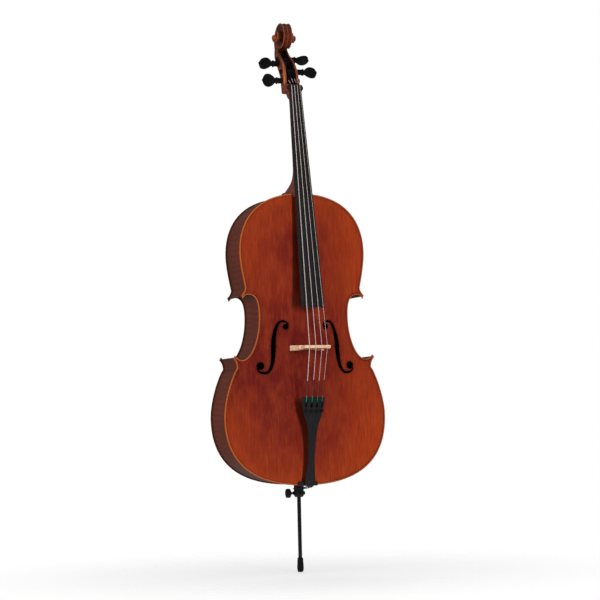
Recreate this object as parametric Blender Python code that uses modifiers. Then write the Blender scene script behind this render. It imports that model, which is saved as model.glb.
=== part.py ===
"""Full-size cello, modelled as its separate wooden, ebony, metal and rubber pieces.

Design frame (the 'cello_frame' empty): X to the treble side, Y from the front plate to the back,
Z up the body from its bottom edge, Y = 0 midway through the rib depth. Dimensions are in
millimetres and become metres when a mesh is made. The empty puts the endpin tip's contact face
at the world origin. An object without a material is a hidden cutter for boolean modifiers.
"""
import math
from collections import namedtuple

import bmesh
import bpy
from mathutils import Matrix, Vector

MM = 0.001
# ---------------------------------------------------------------- driving dimensions (mm)
GAP = 0.3                # clearance between touching pieces
ENDPIN_OUT = 226.0       # endpin tip below the body's bottom edge
ENDPIN_Y = 7.0           # endpin axis behind the middle of the ribs
BODY_LEN = 755.4
RIB_DEPTH = 116.0        # between the plates' inner faces
HALF_DEPTH = RIB_DEPTH / 2
PLATE_T = 4.6
PLATE_Y = HALF_DEPTH + PLATE_T   # outer faces of the plates at their edges
OVERHANG = 3.0           # plates beyond the ribs
RIB_T = 1.2
ARCH_FRONT = 21.4
ARCH_BACK = 22.4
STOP_Z = 353.0           # middle of the bridge feet
BRIDGE_TOP_Y = -173.0
BRIDGE_R = 70.0          # curve of the bridge's top
NUT_Z = 1034.0           # fingerboard end of the nut
NUT_TOP_Y = -41.4
NUT_R = 58.0
STRING_GAP = 0.4         # string to peg, and between turns on the peg
BRIDGE_PITCH = 16.0      # string spacing at the bridge
TUNER_PITCH = 14.3       # string spacing at the tailpiece

# place: position in pitches from the middle
String = namedtuple("String", "name place nut_x radius")
STRINGS = (String("c", -1.5, -11.6, 0.95), String("g", -0.5, -3.9, 0.75),
           String("d", 0.5, 3.9, 0.6), String("a", 1.5, 11.6, 0.5))

# side: head to the treble (1) or bass (-1); collar and coil: distances from the middle plane of
# the collar's outer face and the string's first turn; turn: degrees the head is turned
Peg = namedtuple("Peg", "side z y collar coil turn")
PEGS = {"c": Peg(-1, 1060.5, 5.0, 41.0, 9.0, 0.0),
        "g": Peg(-1, 1111.5, 39.0, 38.5, 5.5, 40.0),
        "d": Peg(1, 1126.0, 54.0, 34.0, 5.5, 55.0),
        "a": Peg(1, 1087.0, 17.0, 43.0, 9.0, -24.0)}
SIDES = ((-1, "bass"), (1, "treble"))

# ---------------------------------------------------------------- scene
for old in list(bpy.data.objects):
    bpy.data.objects.remove(old)
parts = bpy.data.collections.new("cello")
cutters = bpy.data.collections.new("cutters")
bpy.context.scene.collection.children.link(parts)
bpy.context.scene.collection.children.link(cutters)
frame = bpy.data.objects.new("cello_frame", None)
frame.location = (0.0, -ENDPIN_Y * MM, ENDPIN_OUT * MM)
parts.objects.link(frame)


# ---------------------------------------------------------------- materials
def material(name, color, roughness, metallic=0.0):
    mat = bpy.data.materials.new(name)
    mat.use_nodes = True
    shader = mat.node_tree.nodes["Principled BSDF"]
    shader.inputs["Base Color"].default_value = (*color, 1.0)
    shader.inputs["Roughness"].default_value = roughness
    shader.inputs["Metallic"].default_value = metallic
    return mat


SPRUCE = material("varnished_spruce", color=(0.23, 0.035, 0.014), roughness=0.3)
MAPLE = material("varnished_maple", color=(0.16, 0.03, 0.014), roughness=0.3)
BARE_WOOD = material("bare_wood", color=(0.55, 0.38, 0.2), roughness=0.6)
BRIDGE_MAPLE = material("bridge_maple", color=(0.7, 0.47, 0.3), roughness=0.55)
EBONY = material("ebony", color=(0.015, 0.015, 0.016), roughness=0.35)
STEEL = material("steel", color=(0.6, 0.6, 0.6), roughness=0.3, metallic=1.0)
BLACK_METAL = material("black_metal", color=(0.03, 0.03, 0.03), roughness=0.3, metallic=0.8)
RUBBER = material("rubber", color=(0.02, 0.02, 0.02), roughness=0.7)
CORD = material("tail_cord", color=(0.02, 0.02, 0.02), roughness=0.6)
INLAY = material("purfling", color=(0.03, 0.015, 0.01), roughness=0.5)


# ---------------------------------------------------------------- building helpers
def put(name, mesh, mat=None, pivot=(0, 0, 0), rot=None, smooth=True):
    """Object in the cello frame; without a material it is a hidden cutter."""
    ob = bpy.data.objects.new(name, mesh)
    (parts if mat else cutters).objects.link(ob)
    ob.parent = frame
    ob.location = [p * MM for p in pivot]
    if rot:
        ob.rotation_euler = rot
    if mat is None:
        ob.hide_render = True
        ob.display_type = "WIRE"
        return ob
    mesh.materials.append(mat)
    if smooth:
        mesh.shade_smooth()
        mesh.set_sharp_from_angle(angle=math.radians(35))
    return ob


def mesh_from(bm, name):
    mesh = bpy.data.meshes.new(name)
    bm.to_mesh(mesh)
    bm.free()
    return mesh


def outward(mesh):
    """Weld coincident vertices and turn every face outwards."""
    bm = bmesh.new()
    bm.from_mesh(mesh)
    bmesh.ops.remove_doubles(bm, verts=bm.verts, dist=0.00001)
    bmesh.ops.recalc_face_normals(bm, faces=bm.faces)
    bm.to_mesh(mesh)
    bm.free()
    mesh.update()


def facing(axis):
    """Rotation that takes local Z to the axis."""
    return Vector((0, 0, 1)).rotation_difference(Vector(axis)).to_euler()


def loft(name, rings, mat=None, pivot=(0, 0, 0)):
    """Skin of rings of equal count, closed with a cap at each end."""
    count = len(rings[0])
    verts = [Vector(p) * MM for ring in rings for p in ring]
    faces = []
    for i in range(len(rings) - 1):
        for k in range(count):
            a, b = i * count + k, i * count + (k + 1) % count
            faces.append((a, b, b + count, a + count))
    faces.append(tuple(range(count)))
    faces.append(tuple(range(len(verts) - count, len(verts))))
    mesh = bpy.data.meshes.new(name)
    mesh.from_pydata(verts, [], faces)
    bm = bmesh.new()
    bm.from_mesh(mesh)
    bmesh.ops.triangulate(bm, faces=[f for f in bm.faces if len(f.verts) == 4])
    bm.to_mesh(mesh)
    bm.free()
    outward(mesh)
    return put(name, mesh, mat, pivot)


# Drawing plane: turn from the XY plane, and the direction of extrusion
PLANES = {"XZ": (((1, 0, 0), (0, 0, -1), (0, 1, 0)), (0, 1, 0)),
          "YZ": (((0, 0, 1), (1, 0, 0), (0, 1, 0)), (1, 0, 0)),
          "XY": (((1, 0, 0), (0, 1, 0), (0, 0, 1)), (0, 0, 1))}


def slab(name, loops, start, end, mat=None, pivot=(0, 0, 0), plane="XZ"):
    """Loops drawn in a plane, filled (inner loops are holes) and extruded from start to end."""
    curve = bpy.data.curves.new(name, "CURVE")
    curve.dimensions = "2D"
    curve.fill_mode = "BOTH"
    curve.extrude = abs(end - start) / 2 * MM
    for loop in loops:
        spline = curve.splines.new("POLY")
        spline.points.add(len(loop) - 1)
        for point, (x, y) in zip(spline.points, loop):
            point.co = (x * MM, y * MM, 0, 1)
        spline.use_cyclic_u = True
    temp = bpy.data.objects.new(name + "_curve", curve)
    cutters.objects.link(temp)
    bpy.context.view_layer.update()
    depsgraph = bpy.context.evaluated_depsgraph_get()
    mesh = bpy.data.meshes.new_from_object(temp.evaluated_get(depsgraph))
    bpy.data.objects.remove(temp)
    turn, axis = PLANES[plane]
    shift = Matrix.Translation(Vector(axis) * ((start + end) / 2 * MM))
    mesh.transform(shift @ Matrix(turn).to_4x4())
    outward(mesh)
    mesh.materials.clear()
    mesh.name = name
    return put(name, mesh, mat, pivot)


def turned(name, profile, mat, pivot, rot=None, steps=16, closed=False):
    """Profile of (radius, height) spun about local Z."""
    mesh = bpy.data.meshes.new(name)
    last = len(profile) - 1
    edges = [(i, i + 1) for i in range(last)] + ([(last, 0)] if closed else [])
    mesh.from_pydata([(r * MM, 0, z * MM) for r, z in profile], edges, [])
    ob = put(name, mesh, mat, pivot, rot, smooth=False)
    screw = ob.modifiers.new("turn", "SCREW")
    screw.steps = screw.render_steps = steps
    screw.use_merge_vertices = True
    screw.merge_threshold = 0.00001
    screw.use_smooth_shade = True
    return ob


def tube(name, path, radius, mat, factors=()):
    """Round tube along a path; factors scale the radius at its first points."""
    curve = bpy.data.curves.new(name, "CURVE")
    curve.dimensions = "3D"
    curve.bevel_depth = radius * MM
    curve.bevel_resolution = 1
    curve.use_fill_caps = True
    spline = curve.splines.new("POLY")
    spline.points.add(len(path) - 1)
    for point, place in zip(spline.points, path):
        point.co = (*[c * MM for c in place], 1)
    for point, factor in zip(spline.points, factors):
        point.radius = factor
    curve.materials.append(mat)
    ob = bpy.data.objects.new(name, curve)
    parts.objects.link(ob)
    ob.parent = frame


def cylinder(name, radius, length, centre, axis, mat=None, verts=16, end_radius=None):
    """Cylinder, or a cone whose end_radius is at the end the axis points to."""
    bm = bmesh.new()
    bmesh.ops.create_cone(bm, cap_ends=True, segments=verts, radius1=radius * MM,
                          radius2=(radius if end_radius is None else end_radius) * MM,
                          depth=length * MM)
    return put(name, mesh_from(bm, name), mat, centre, facing(axis))


def box(name, low, high, mat=None):
    bm = bmesh.new()
    bmesh.ops.create_cube(bm, size=1.0)
    size = [(b - a) * MM for a, b in zip(low, high)]
    middle = [(a + b) / 2 * MM for a, b in zip(low, high)]
    bmesh.ops.scale(bm, vec=size, verts=bm.verts)
    bmesh.ops.translate(bm, vec=middle, verts=bm.verts)
    return put(name, mesh_from(bm, name), mat)


def cut(ob, tool, operation="DIFFERENCE"):
    mod = ob.modifiers.new(operation.lower(), "BOOLEAN")
    mod.operation = operation
    mod.solver = "EXACT"
    mod.object = tool


def thicken(ob, thickness):
    """Thicken away from the face normals; returns the modifier."""
    mod = ob.modifiers.new("thickness", "SOLIDIFY")
    mod.thickness = thickness * MM
    mod.offset = -1
    return mod


def sag(x, radius):
    """Drop of a circular crown at distance x from its middle."""
    return radius - math.sqrt(radius * radius - x * x)


def mirrored(half):
    """Closed loop from its right half."""
    return [(x, y) for x, y in half] + [(-x, y) for x, y in reversed(half) if abs(x) > 1e-6]


def on_side(side, points):
    return [(side * x, y) for x, y in points]


# ---------------------------------------------------------------- body outline (right half)
# Bezier knots in (x, z): point, handle before, handle after
LOWER = [((0, 0), None, (146, 0)),
         ((219.8, 177), (219.8, 60.5), (219.8, 228.6)),
         ((183.6, 303), (191.5, 297), (183.4, 318)),
         ((193.7, 329), (189.5, 325), None)]
WAIST = [((188, 336.5), None, (184, 330.5)),
         ((169, 324.6), (177, 324.6), (145, 324.6)),
         ((121.8, 437), (121.8, 377.5), (121.8, 464)),
         ((149, 491.8), (124.5, 491.8), (156.5, 491.8)),
         ((164, 480.4), (161, 487), None)]
UPPER = [((168.3, 490.2), None, (162.5, 496)),
         ((157.2, 511), (157.2, 503), (161.3, 530)),
         ((170.6, 602), (170.6, 571), (170.6, 688)),
         ((0, BODY_LEN), (119.6, BODY_LEN), None)]


def bezier(knots, counts):
    """Points along the knots, with counts steps in each segment."""
    points = []
    for start, end, count in zip(knots, knots[1:], counts):
        p0, p3 = Vector(start[0]), Vector(end[0])
        p1 = Vector(start[2]) if start[2] else p0.lerp(p3, 1 / 3)
        p2 = Vector(end[1]) if end[1] else p0.lerp(p3, 2 / 3)
        for i in range(count):
            t = i / count
            u = 1 - t
            points.append(u ** 3 * p0 + 3 * u ** 2 * t * p1 + 3 * u * t * t * p2 + t ** 3 * p3)
    points.append(Vector(knots[-1][0]))
    return points


lower = bezier(LOWER, (7, 4, 2))
waist = bezier(WAIST, (3, 4, 4, 2))
upper = bezier(UPPER, (2, 4, 7))
# The short flat ends of the corners, between one bout and the next
LOW_TIP = (lower[-1], waist[0])
UP_TIP = (waist[-1], upper[0])


def inset(points, distance):
    """Polyline moved to its left (into the body), with mitred joints."""
    steps = [(b - a).normalized() for a, b in zip(points, points[1:])]
    out = []
    for p, before, after in zip(points, steps[:1] + steps, steps + steps[-1:]):
        normal = Vector((-before.y, before.x))
        mitre = (normal + Vector((-after.y, after.x))).normalized()
        out.append(p + mitre * (distance / max(0.4, mitre.dot(normal))))
    return out


def clip_tip(points, at_end, tip, margin):
    """Cut a polyline, at its end or start, where it comes within margin of the corner's tip."""
    if not at_end:
        return clip_tip(points[::-1], True, tip, margin)[::-1]
    along = (tip[1] - tip[0]).normalized()
    normal = Vector((-along.y, along.x))
    if normal.x > 0:
        normal = -normal             # points into the body
    dist = [(p - tip[0]).dot(normal) for p in points]
    last = max(i for i in range(len(points)) if dist[i] > margin)
    out = points[:last + 1]
    if last + 1 < len(points):
        t = (dist[last] - margin) / (dist[last] - dist[last + 1])
        out.append(points[last].lerp(points[last + 1], t))
    return out


def join(first, second):
    """Trim both where the first's end crosses the second's start; unchanged if they do not."""
    for i in range(len(first) - 1, 0, -1):
        for j in range(len(second) - 1):
            a, c = first[i - 1], second[j]
            r, s = first[i] - a, second[j + 1] - c
            den = r.x * s.y - r.y * s.x
            if abs(den) < 1e-12:
                continue
            t = ((c.x - a.x) * s.y - (c.y - a.y) * s.x) / den
            u = ((c.x - a.x) * r.y - (c.y - a.y) * r.x) / den
            if -1e-9 <= t <= 1 + 1e-9 and -1e-9 <= u <= 1 + 1e-9:
                return first[:i] + [a + r * t], second[j + 1:]
    return first, second


def inset_bouts(distance, waist_margins, margin):
    """The three bouts moved in, each clipped short of its corner tips."""
    low_margin, up_margin = waist_margins
    mid = clip_tip(inset(waist, distance), False, LOW_TIP, low_margin)
    return (clip_tip(inset(lower, distance), True, LOW_TIP, margin),
            clip_tip(mid, True, UP_TIP, up_margin),
            clip_tip(inset(upper, distance), False, UP_TIP, margin))


def half_loop(distance):
    """Right half of the outline moved in, bouts meeting at their mitres."""
    if distance == 0:
        return lower + waist + upper
    low, mid, up = inset_bouts(distance, (distance, distance), distance)
    low, mid = join(low, mid)
    mid, up = join(mid, up)
    low[0].x = 0.0
    up[-1].x = 0.0
    return low + mid + up


# ---------------------------------------------------------------- arching
ARCH_MARGIN = 12.0       # flat edge at the sides
ARCH_END = 9.0           # flat edge at the bottom and top
# z, half width of the body with the corners faired out
FAIRED = [(0, 0), (12, 98), (40, 157), (90, 200), (177, 219.8), (250, 205), (320, 165),
          (380, 132), (437, 121.8), (490, 132), (545, 160), (602, 170.6), (665, 159),
          (715, 124), (745, 70), (BODY_LEN, 0)]


def faired_half(z):
    """Smooth cubic through the FAIRED table, zero outside it."""
    for i in range(len(FAIRED) - 1):
        z0, w0 = FAIRED[i]
        z1, w1 = FAIRED[i + 1]
        if z0 <= z <= z1:
            before = FAIRED[max(0, i - 1)]
            after = FAIRED[min(len(FAIRED) - 1, i + 2)]
            slope0 = (w1 - before[1]) / (z1 - before[0])
            slope1 = (after[1] - w0) / (after[0] - z0)
            step = z1 - z0
            t = (z - z0) / step
            return ((2 * t ** 3 - 3 * t * t + 1) * w0 + (t ** 3 - 2 * t * t + t) * step * slope0
                    + (-2 * t ** 3 + 3 * t * t) * w1 + (t ** 3 - t * t) * step * slope1)
    return 0.0


def arch(x, z, height):
    """Rise of a plate above its edge."""
    half = faired_half(z) - ARCH_MARGIN
    share = abs(z - BODY_LEN / 2) / (BODY_LEN / 2 - ARCH_END)
    if half <= 0 or share >= 1 or abs(x) >= half:
        return 0.0
    lengthwise = (0.5 * (1 + math.cos(math.pi * share))) ** 0.4
    across = (0.5 * (1 + math.cos(math.pi * abs(x) / half))) ** 0.75
    return height * lengthwise * across


# ---------------------------------------------------------------- cutters shared by the body
ROOT_Z = 744.5           # neck root's lower end, inside the body
SADDLE_HALF = 27.0
SADDLE_TOP = 10.5
# Wedge for the neck root, wider at the front
root_cut = slab("neck_root_cutter", [[(-24.4, -100), (24.4, -100), (14.5, 58.6), (-14.5, 58.6)]],
                ROOT_Z - GAP, 800, plane="XY")
saddle_cut = box("saddle_notch", (-SADDLE_HALF - GAP, -80, -6),
                 (SADDLE_HALF + GAP, -50, SADDLE_TOP + GAP))

# ---------------------------------------------------------------- plates
GRID_W, GRID_L = 464, 812    # sheet the plates are cut from
GRID_UP = 8                  # its middle above the body's middle
BUTTON_Z = 757               # centre of the half-round button at the top of the back
BUTTON_HALF, BUTTON_RISE = 14.5, 15


def carved_plate(name, height, sign, loop, mat):
    """Grid displaced by the arching, thickened inwards, and cut to the outline."""
    bm = bmesh.new()
    bmesh.ops.create_grid(bm, x_segments=14, y_segments=24, size=0.5)
    for v in bm.verts:
        x = v.co.x * GRID_W
        z = BODY_LEN / 2 + GRID_UP + v.co.y * GRID_L
        v.co = (x * MM, sign * (PLATE_Y + arch(x, z, height)) * MM, z * MM)
    bmesh.ops.triangulate(bm, faces=bm.faces)
    bmesh.ops.recalc_face_normals(bm, faces=bm.faces)
    if sum(f.normal.y for f in bm.faces) * sign < 0:
        bmesh.ops.reverse_faces(bm, faces=bm.faces)
    ob = put(name, mesh_from(bm, name), mat)
    thicken(ob, PLATE_T)
    cut(ob, slab(name + "_outline", [loop], sign * 40, sign * 110), "INTERSECT")
    return ob


def back_loop():
    """Body outline with the button at the top."""
    half = [(p.x, p.y) for p in half_loop(0) if not (p.x < 16 and p.y > 700)]
    half.append((16.5, 754.9))
    for i in range(7):
        a = math.pi * i / 12
        half.append((BUTTON_HALF * math.cos(a), BUTTON_Z + BUTTON_RISE * math.sin(a)))
    return mirrored(half)


front = carved_plate("front_plate", ARCH_FRONT, -1, mirrored(half_loop(0)), SPRUCE)
back = carved_plate("back_plate", ARCH_BACK, 1, back_loop(), MAPLE)

# f-holes on the treble side: a tapering stroke between two round eyes
# Bezier knots in (x, z): point, handle before, handle after
F_PATH = [((47.5, 411.5), None, (48.5, 420)),
          ((64.5, 422.5), (55.5, 423.5), (77, 421.5)),
          ((86.8, 358), (85.6, 389), (88, 327)),
          ((110, 290.2), (91, 292), (121, 289)),
          ((130.3, 303), (130, 294), None)]
F_STEPS = (3, 5, 5, 3)
F_HALF_WIDTHS = [1.6, 3.0, 6.4, 3.4, 1.8]                  # at the knots
F_EYES = [((54.2, 408.4), 7.7), ((122.0, 308.5), 10.0)]    # (x, z), radius


def f_stroke():
    line = bezier(F_PATH, F_STEPS)
    halves = []
    for a, b, count in zip(F_HALF_WIDTHS, F_HALF_WIDTHS[1:], F_STEPS):
        for i in range(count):
            t = i / count
            halves.append(a + (b - a) * (3 * t ** 2 - 2 * t ** 3))
    halves.append(F_HALF_WIDTHS[-1])
    left, right = [], []
    for i, (p, half) in enumerate(zip(line, halves)):
        along = (line[min(i + 1, len(line) - 1)] - line[max(i - 1, 0)]).normalized()
        normal = Vector((-along.y, along.x))
        left.append(p + normal * half)
        right.append(p - normal * half)
    return left + right[::-1]


for side, tag in SIDES:
    cut(front, slab("f_stroke_" + tag, [on_side(side, f_stroke())], -100, -50))
    for k, ((x, z), radius) in enumerate(F_EYES):
        cut(front, cylinder("f_eye_%s_%d" % (tag, k), radius, 60, (side * x, -75, z), (0, 1, 0),
                            verts=18))

# ---------------------------------------------------------------- purfling
CHANNEL_IN = (4.0, 5.8)      # outer and inner edges, from the plate's edge
CHANNEL_DEEP = 2.2
INLAY_IN = (4.3, 5.5)
INLAY_DEEP = 1.9
INLAY_X_LOW = SADDLE_HALF + 0.7   # front inlay stops clear of the saddle
INLAY_X_TOP = 24.6                # and of the neck root

for plate, tag, sign in ((front, "front", -1), (back, "back", 1)):
    cut(plate, slab("purfling_channel_" + tag, [mirrored(half_loop(d)) for d in CHANNEL_IN],
                    sign * (PLATE_Y - CHANNEL_DEEP), sign * 90))
for tool in (root_cut, saddle_cut):
    cut(front, tool)
slab("purfling_back", [mirrored(half_loop(d)) for d in INLAY_IN],
     PLATE_Y - INLAY_DEEP, PLATE_Y, INLAY)


def clip_x(points, x_low, x_top):
    """Trim a half loop so that it starts at x_low (bottom) and ends at x_top (top)."""
    out = list(points)
    while out[1].x < x_low:
        out.pop(0)
    a, b = out[0], out[1]
    out[0] = a.lerp(b, (x_low - a.x) / (b.x - a.x))
    while out[-2].x < x_top:
        out.pop()
    a, b = out[-1], out[-2]
    out[-1] = a.lerp(b, (x_top - a.x) / (b.x - a.x))
    return out


outer, inner = [clip_x(half_loop(d), INLAY_X_LOW, INLAY_X_TOP) for d in INLAY_IN]
for side, tag in SIDES:
    slab("purfling_front_" + tag, [on_side(side, outer + inner[::-1])],
         INLAY_DEEP - PLATE_Y, -PLATE_Y, INLAY)

# ---------------------------------------------------------------- ribs
RIB_Y = HALF_DEPTH - GAP


def strip(name, points, y0, y1, thick, side, mat):
    """Bent wooden strip: an open ribbon along the polyline, thickened into the body."""
    verts = [(x * MM, y * MM, z * MM) for x, z in on_side(side, points) for y in (y0, y1)]
    faces = [(2 * i, 2 * i + 2, 2 * i + 3, 2 * i + 1) for i in range(len(points) - 1)]
    if side > 0:
        faces = [f[::-1] for f in faces]
    mesh = bpy.data.meshes.new(name)
    mesh.from_pydata(verts, [], faces)
    mesh.update()
    ob = put(name, mesh, mat)
    thicken(ob, thick).use_even_offset = True
    return ob


rib_hole = cylinder("endpin_hole_ribs", 13.35, 40, (0, ENDPIN_Y, 8), (0, 0, 1), verts=20)
rib_low, rib_mid, rib_up = inset_bouts(OVERHANG, waist_margins=(3.5, 7.0), margin=3.0)
rib_low[0] = Vector((0.15, rib_low[0].y))    # the two lower ribs almost meet
rib_up[-1] = Vector((8.0, rib_up[-1].y))     # the upper ribs run in to the neck root cut
for side, tag in SIDES:
    for bout, line, tool in (("lower", rib_low, rib_hole), ("waist", rib_mid, None),
                             ("upper", rib_up, root_cut)):
        rib = strip("rib_%s_%s" % (bout, tag), line, -RIB_Y, RIB_Y, RIB_T, side, MAPLE)
        if tool:
            cut(rib, tool)

# ---------------------------------------------------------------- blocks and linings
INSIDE = OVERHANG + RIB_T + GAP      # blocks and linings start here
BOTTOM_BLOCK = Vector((46.0, 40))    # inner corner (x, z)
TOP_BLOCK = Vector((52.0, 708))
LINING_H, LINING_T = 16.0, 2.8
# tip, reach of the corner block from the middle of the tip
CORNERS = {"lower": (LOW_TIP, 54), "upper": (UP_TIP, 50)}


def split_at_block(line, half_width):
    """Split a line from the centre outwards: edge of the end block, then the lining beyond."""
    covered = [p for p in line if p.x < half_width]
    beyond = [p for p in line if p.x >= half_width]
    last, following = covered[-1], beyond[0]
    edge = last.lerp(following, (half_width - last.x) / (following.x - last.x))
    start = edge.lerp(following, 1.5 / (following - edge).length)
    return ([Vector((0, covered[0].y))] + covered[1:] + [edge],
            [start] + [p for p in beyond if p.x > half_width + 1])


def from_tip(point, tip):
    return (point - (tip[0] + tip[1]) / 2).length


def corner_block(name, first, second, corner, side):
    """Solid between the two ribs of a corner, cut off flat inside."""
    tip, reach = corner
    a = clip_tip(inset(first, INSIDE + 0.1), True, tip, 3.0)
    b = clip_tip(inset(second, INSIDE + 0.1), False, tip, 3.0)
    a, b = join(a, b)
    loop = [p for p in a + b if from_tip(p, tip) < reach]
    slab(name, [on_side(side, loop)], -RIB_Y, RIB_Y, BARE_WOOD)


def clear_of_corners(points):
    """Part of a lining line at least 1 mm clear of the corner blocks' reach."""
    return [p for p in points
            if all(from_tip(p, tip) > reach + 1 for tip, reach in CORNERS.values())]


bottom_edge, lining_low = split_at_block(inset(lower, INSIDE), BOTTOM_BLOCK.x)
top_edge, lining_up = split_at_block(inset(upper, INSIDE)[::-1], TOP_BLOCK.x)
bottom_block = slab("bottom_block", [mirrored(bottom_edge + [BOTTOM_BLOCK])],
                    -RIB_Y, RIB_Y, BARE_WOOD)
cut(bottom_block, cylinder("endpin_hole_block", 12.95, 60, (0, ENDPIN_Y, 21.0), (0, 0, 1),
                           verts=20, end_radius=11.3))
top_block = slab("top_block", [mirrored([TOP_BLOCK] + top_edge[::-1])], -RIB_Y, RIB_Y, BARE_WOOD)
cut(top_block, root_cut)

for side, tag in SIDES:
    corner_block("corner_block_lower_" + tag, lower, waist, CORNERS["lower"], side)
    corner_block("corner_block_upper_" + tag, waist, upper, CORNERS["upper"], side)
    for bout, line in (("lower", lining_low), ("waist", inset(waist, INSIDE)),
                       ("upper", lining_up[::-1])):
        line = clear_of_corners(line)
        strip("lining_front_%s_%s" % (bout, tag), line, -RIB_Y, -RIB_Y + LINING_H,
              LINING_T, side, BARE_WOOD)
        strip("lining_back_%s_%s" % (bout, tag), line, RIB_Y - LINING_H, RIB_Y,
              LINING_T, side, BARE_WOOD)

# ---------------------------------------------------------------- bass bar, sound post
BAR_Z, BAR_LEN = 92, 575
BAR_X, BAR_SLANT = -33, 11       # middle at the lower end, shift over the length
BAR_HALF = 5.5
BAR_END_H, BAR_SWELL = 5, 18
BAR_INTO = 1.1                   # gap under the plate's inner face at its edge offset
POST_X, POST_Z, POST_R = 31.0, 338.0, 5.5
POST_GAP = 1.0


def bass_bar():
    rings = []
    for i in range(9):
        t = i / 8
        z = BAR_Z + BAR_LEN * t
        xs = [BAR_X + BAR_SLANT * t + e for e in (-BAR_HALF, BAR_HALF)]
        tops = [-(HALF_DEPTH + arch(x, z, ARCH_FRONT)) + BAR_INTO for x in xs]
        low = max(tops) + BAR_END_H + BAR_SWELL * math.sin(math.pi * t) ** 0.8
        rings.append([(xs[0], tops[0], z), (xs[1], tops[1], z), (xs[1], low, z), (xs[0], low, z)])
    loft("bass_bar", rings, SPRUCE)


def sound_post():
    y0 = -(HALF_DEPTH + arch(POST_X + POST_R, POST_Z, ARCH_FRONT)) + POST_GAP
    y1 = HALF_DEPTH + arch(POST_X + POST_R, POST_Z, ARCH_BACK) - POST_GAP
    cylinder("sound_post", POST_R, y1 - y0, (POST_X, (y0 + y1) / 2, POST_Z), (0, 1, 0), BARE_WOOD)


bass_bar()
sound_post()

# ---------------------------------------------------------------- fingerboard lines
BOARD_LEN = 580.0
BOARD_NUT_Y = -41.0              # crown at the nut
BOARD_SLOPE = 0.181
BOARD_HALF_NUT, BOARD_HALF_END = 15.5, 31.0
BOARD_R = 62.0
BOARD_T_NUT, BOARD_T_MORE = 11.0, 4.0    # thickness at the nut, gain over the length


def board_top(z):
    return BOARD_NUT_Y - BOARD_SLOPE * (NUT_Z - z)


def board_half(z):
    return BOARD_HALF_NUT + (NUT_Z - z) * (BOARD_HALF_END - BOARD_HALF_NUT) / BOARD_LEN


def glue_y(z):
    """Face between the neck and the fingerboard."""
    return board_top(z) + BOARD_T_NUT + (NUT_Z - z) * BOARD_T_MORE / BOARD_LEN


# ---------------------------------------------------------------- neck, pegbox and scroll
NUT_SEAT_Y = -28.4
NUT_SEAT_TOP = 1045              # z of the station at NUT_SEAT_Y
# Stations under the glue face:
# z, back y, half width at the front, half width at the back, exponent (small is square)
NECK_FOOT = [
    (ROOT_Z, 57.7, 22.6, 13.6, 0.3), (757, 57.7, 22.6, 13.6, 0.3), (764, 57.5, 22.5, 12.2, 0.42),
    (769, 55, 22.4, 11, 0.55), (773, 44, 22.3, 11.5, 0.6), (778, 24, 22.2, 12.5, 0.62),
    (784, 3, 22.1, 14, 0.64), (792, -18, 22, 15.5, 0.66), (803, -34, 21.7, 17, 0.68),
    (818, -44.5, 21.3, 18, 0.7)]
NECK_THROAT = [
    (1004, -17.0, 16.3, 15.0, 0.7), (1008, -11.5, 16.2, 15.2, 0.66), (1011.5, -4, 16.1, 15.5, 0.62),
    (1016, 3.5, 16.0, 15.8, 0.62), (1021, 6.0, 15.9, 16.2, 0.62), (1025.5, 7.5, 15.8, 17.5, 0.5),
    (1027.5, 17.5, 16.2, 21.8, 0.3), (1029.5, 19.3, 21.3, 22.1, 0.24)]
# z, depth from the fingerboard's crown to the back of the neck
NECK_SHAFT = [(842, 31.5), (890, 30.5), (950, 29.5), (995, 28.8)]
# Pegbox: z, front y, back y, half width at the front, half width at the back
PEGBOX = [
    (NUT_SEAT_TOP, NUT_SEAT_Y, 20, 21.8, 22.4), (1047, -15.5, 20.3, 21.8, 22.4),
    (1058, -8.5, 21.0, 21.4, 22.2), (1073, -6, 28.5, 20.6, 21.4), (1091, 0, 44, 19.5, 20.2),
    (1109, 12, 62, 18.2, 18.9), (1126, 32, 77.5, 17.0, 17.6), (1140, 52, 86.5, 15.5, 16.4),
    (1154, 60, 90.0, 13.0, 15.0), (1170, 62, 91.0, 12.5, 13.5)]
# z, front y, back y, half width
CAVITY = [(1049.4, -40, 12, 14.4), (1058, -40, 16, 14.2), (1073, -36, 22, 13.6),
          (1091, -30, 35, 12.7), (1109, -20, 52, 11.8), (1126, 0, 67, 11.0),
          (1139, 14, 75, 10.0), (1146, 26, 79, 9.6), (1152, 36, 82, 9.2)]
CAVITY_CHAMFER = 4
EYE_Y, EYE_Z = 47.5, 1182.0      # scroll centre
# Scroll edge: angle from the back (+Y) towards the top, radius
SPIRAL = [(-40, 44), (0, 43.5), (45, 41.5), (90, 40), (135, 38.5), (180, 36.5), (225, 32),
          (270, 27.5), (315, 24.8), (360, 22.6), (405, 20.6), (450, 18.8), (495, 17),
          (540, 15.2), (585, 13.4), (630, 11.8), (680, 10.5)]


def neck_ring(z, front_y, back_y, front_half, back_half, exponent):
    """Half superellipse, flat at the front."""
    points = []
    for k in range(13):
        a = math.pi * k / 12
        c, s = math.cos(a), math.sin(a)
        y = front_y + (back_y - front_y) * s ** exponent
        half = front_half + (back_half - front_half) * (y - front_y) / (back_y - front_y)
        points.append((half * math.copysign(abs(c) ** exponent, c), y, z))
    return points


def neck_body():
    rings = [neck_ring(z, glue_y(z), *shape) for z, *shape in NECK_FOOT]
    rings += [neck_ring(z, glue_y(z), board_top(z) + depth, board_half(z), board_half(z) * 0.9,
                        0.72) for z, depth in NECK_SHAFT]
    rings += [neck_ring(z, glue_y(z), *shape) for z, *shape in NECK_THROAT]
    rings += [neck_ring(*station, 0.22) for station in PEGBOX]
    return loft("neck_scroll", rings, MAPLE)


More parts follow.
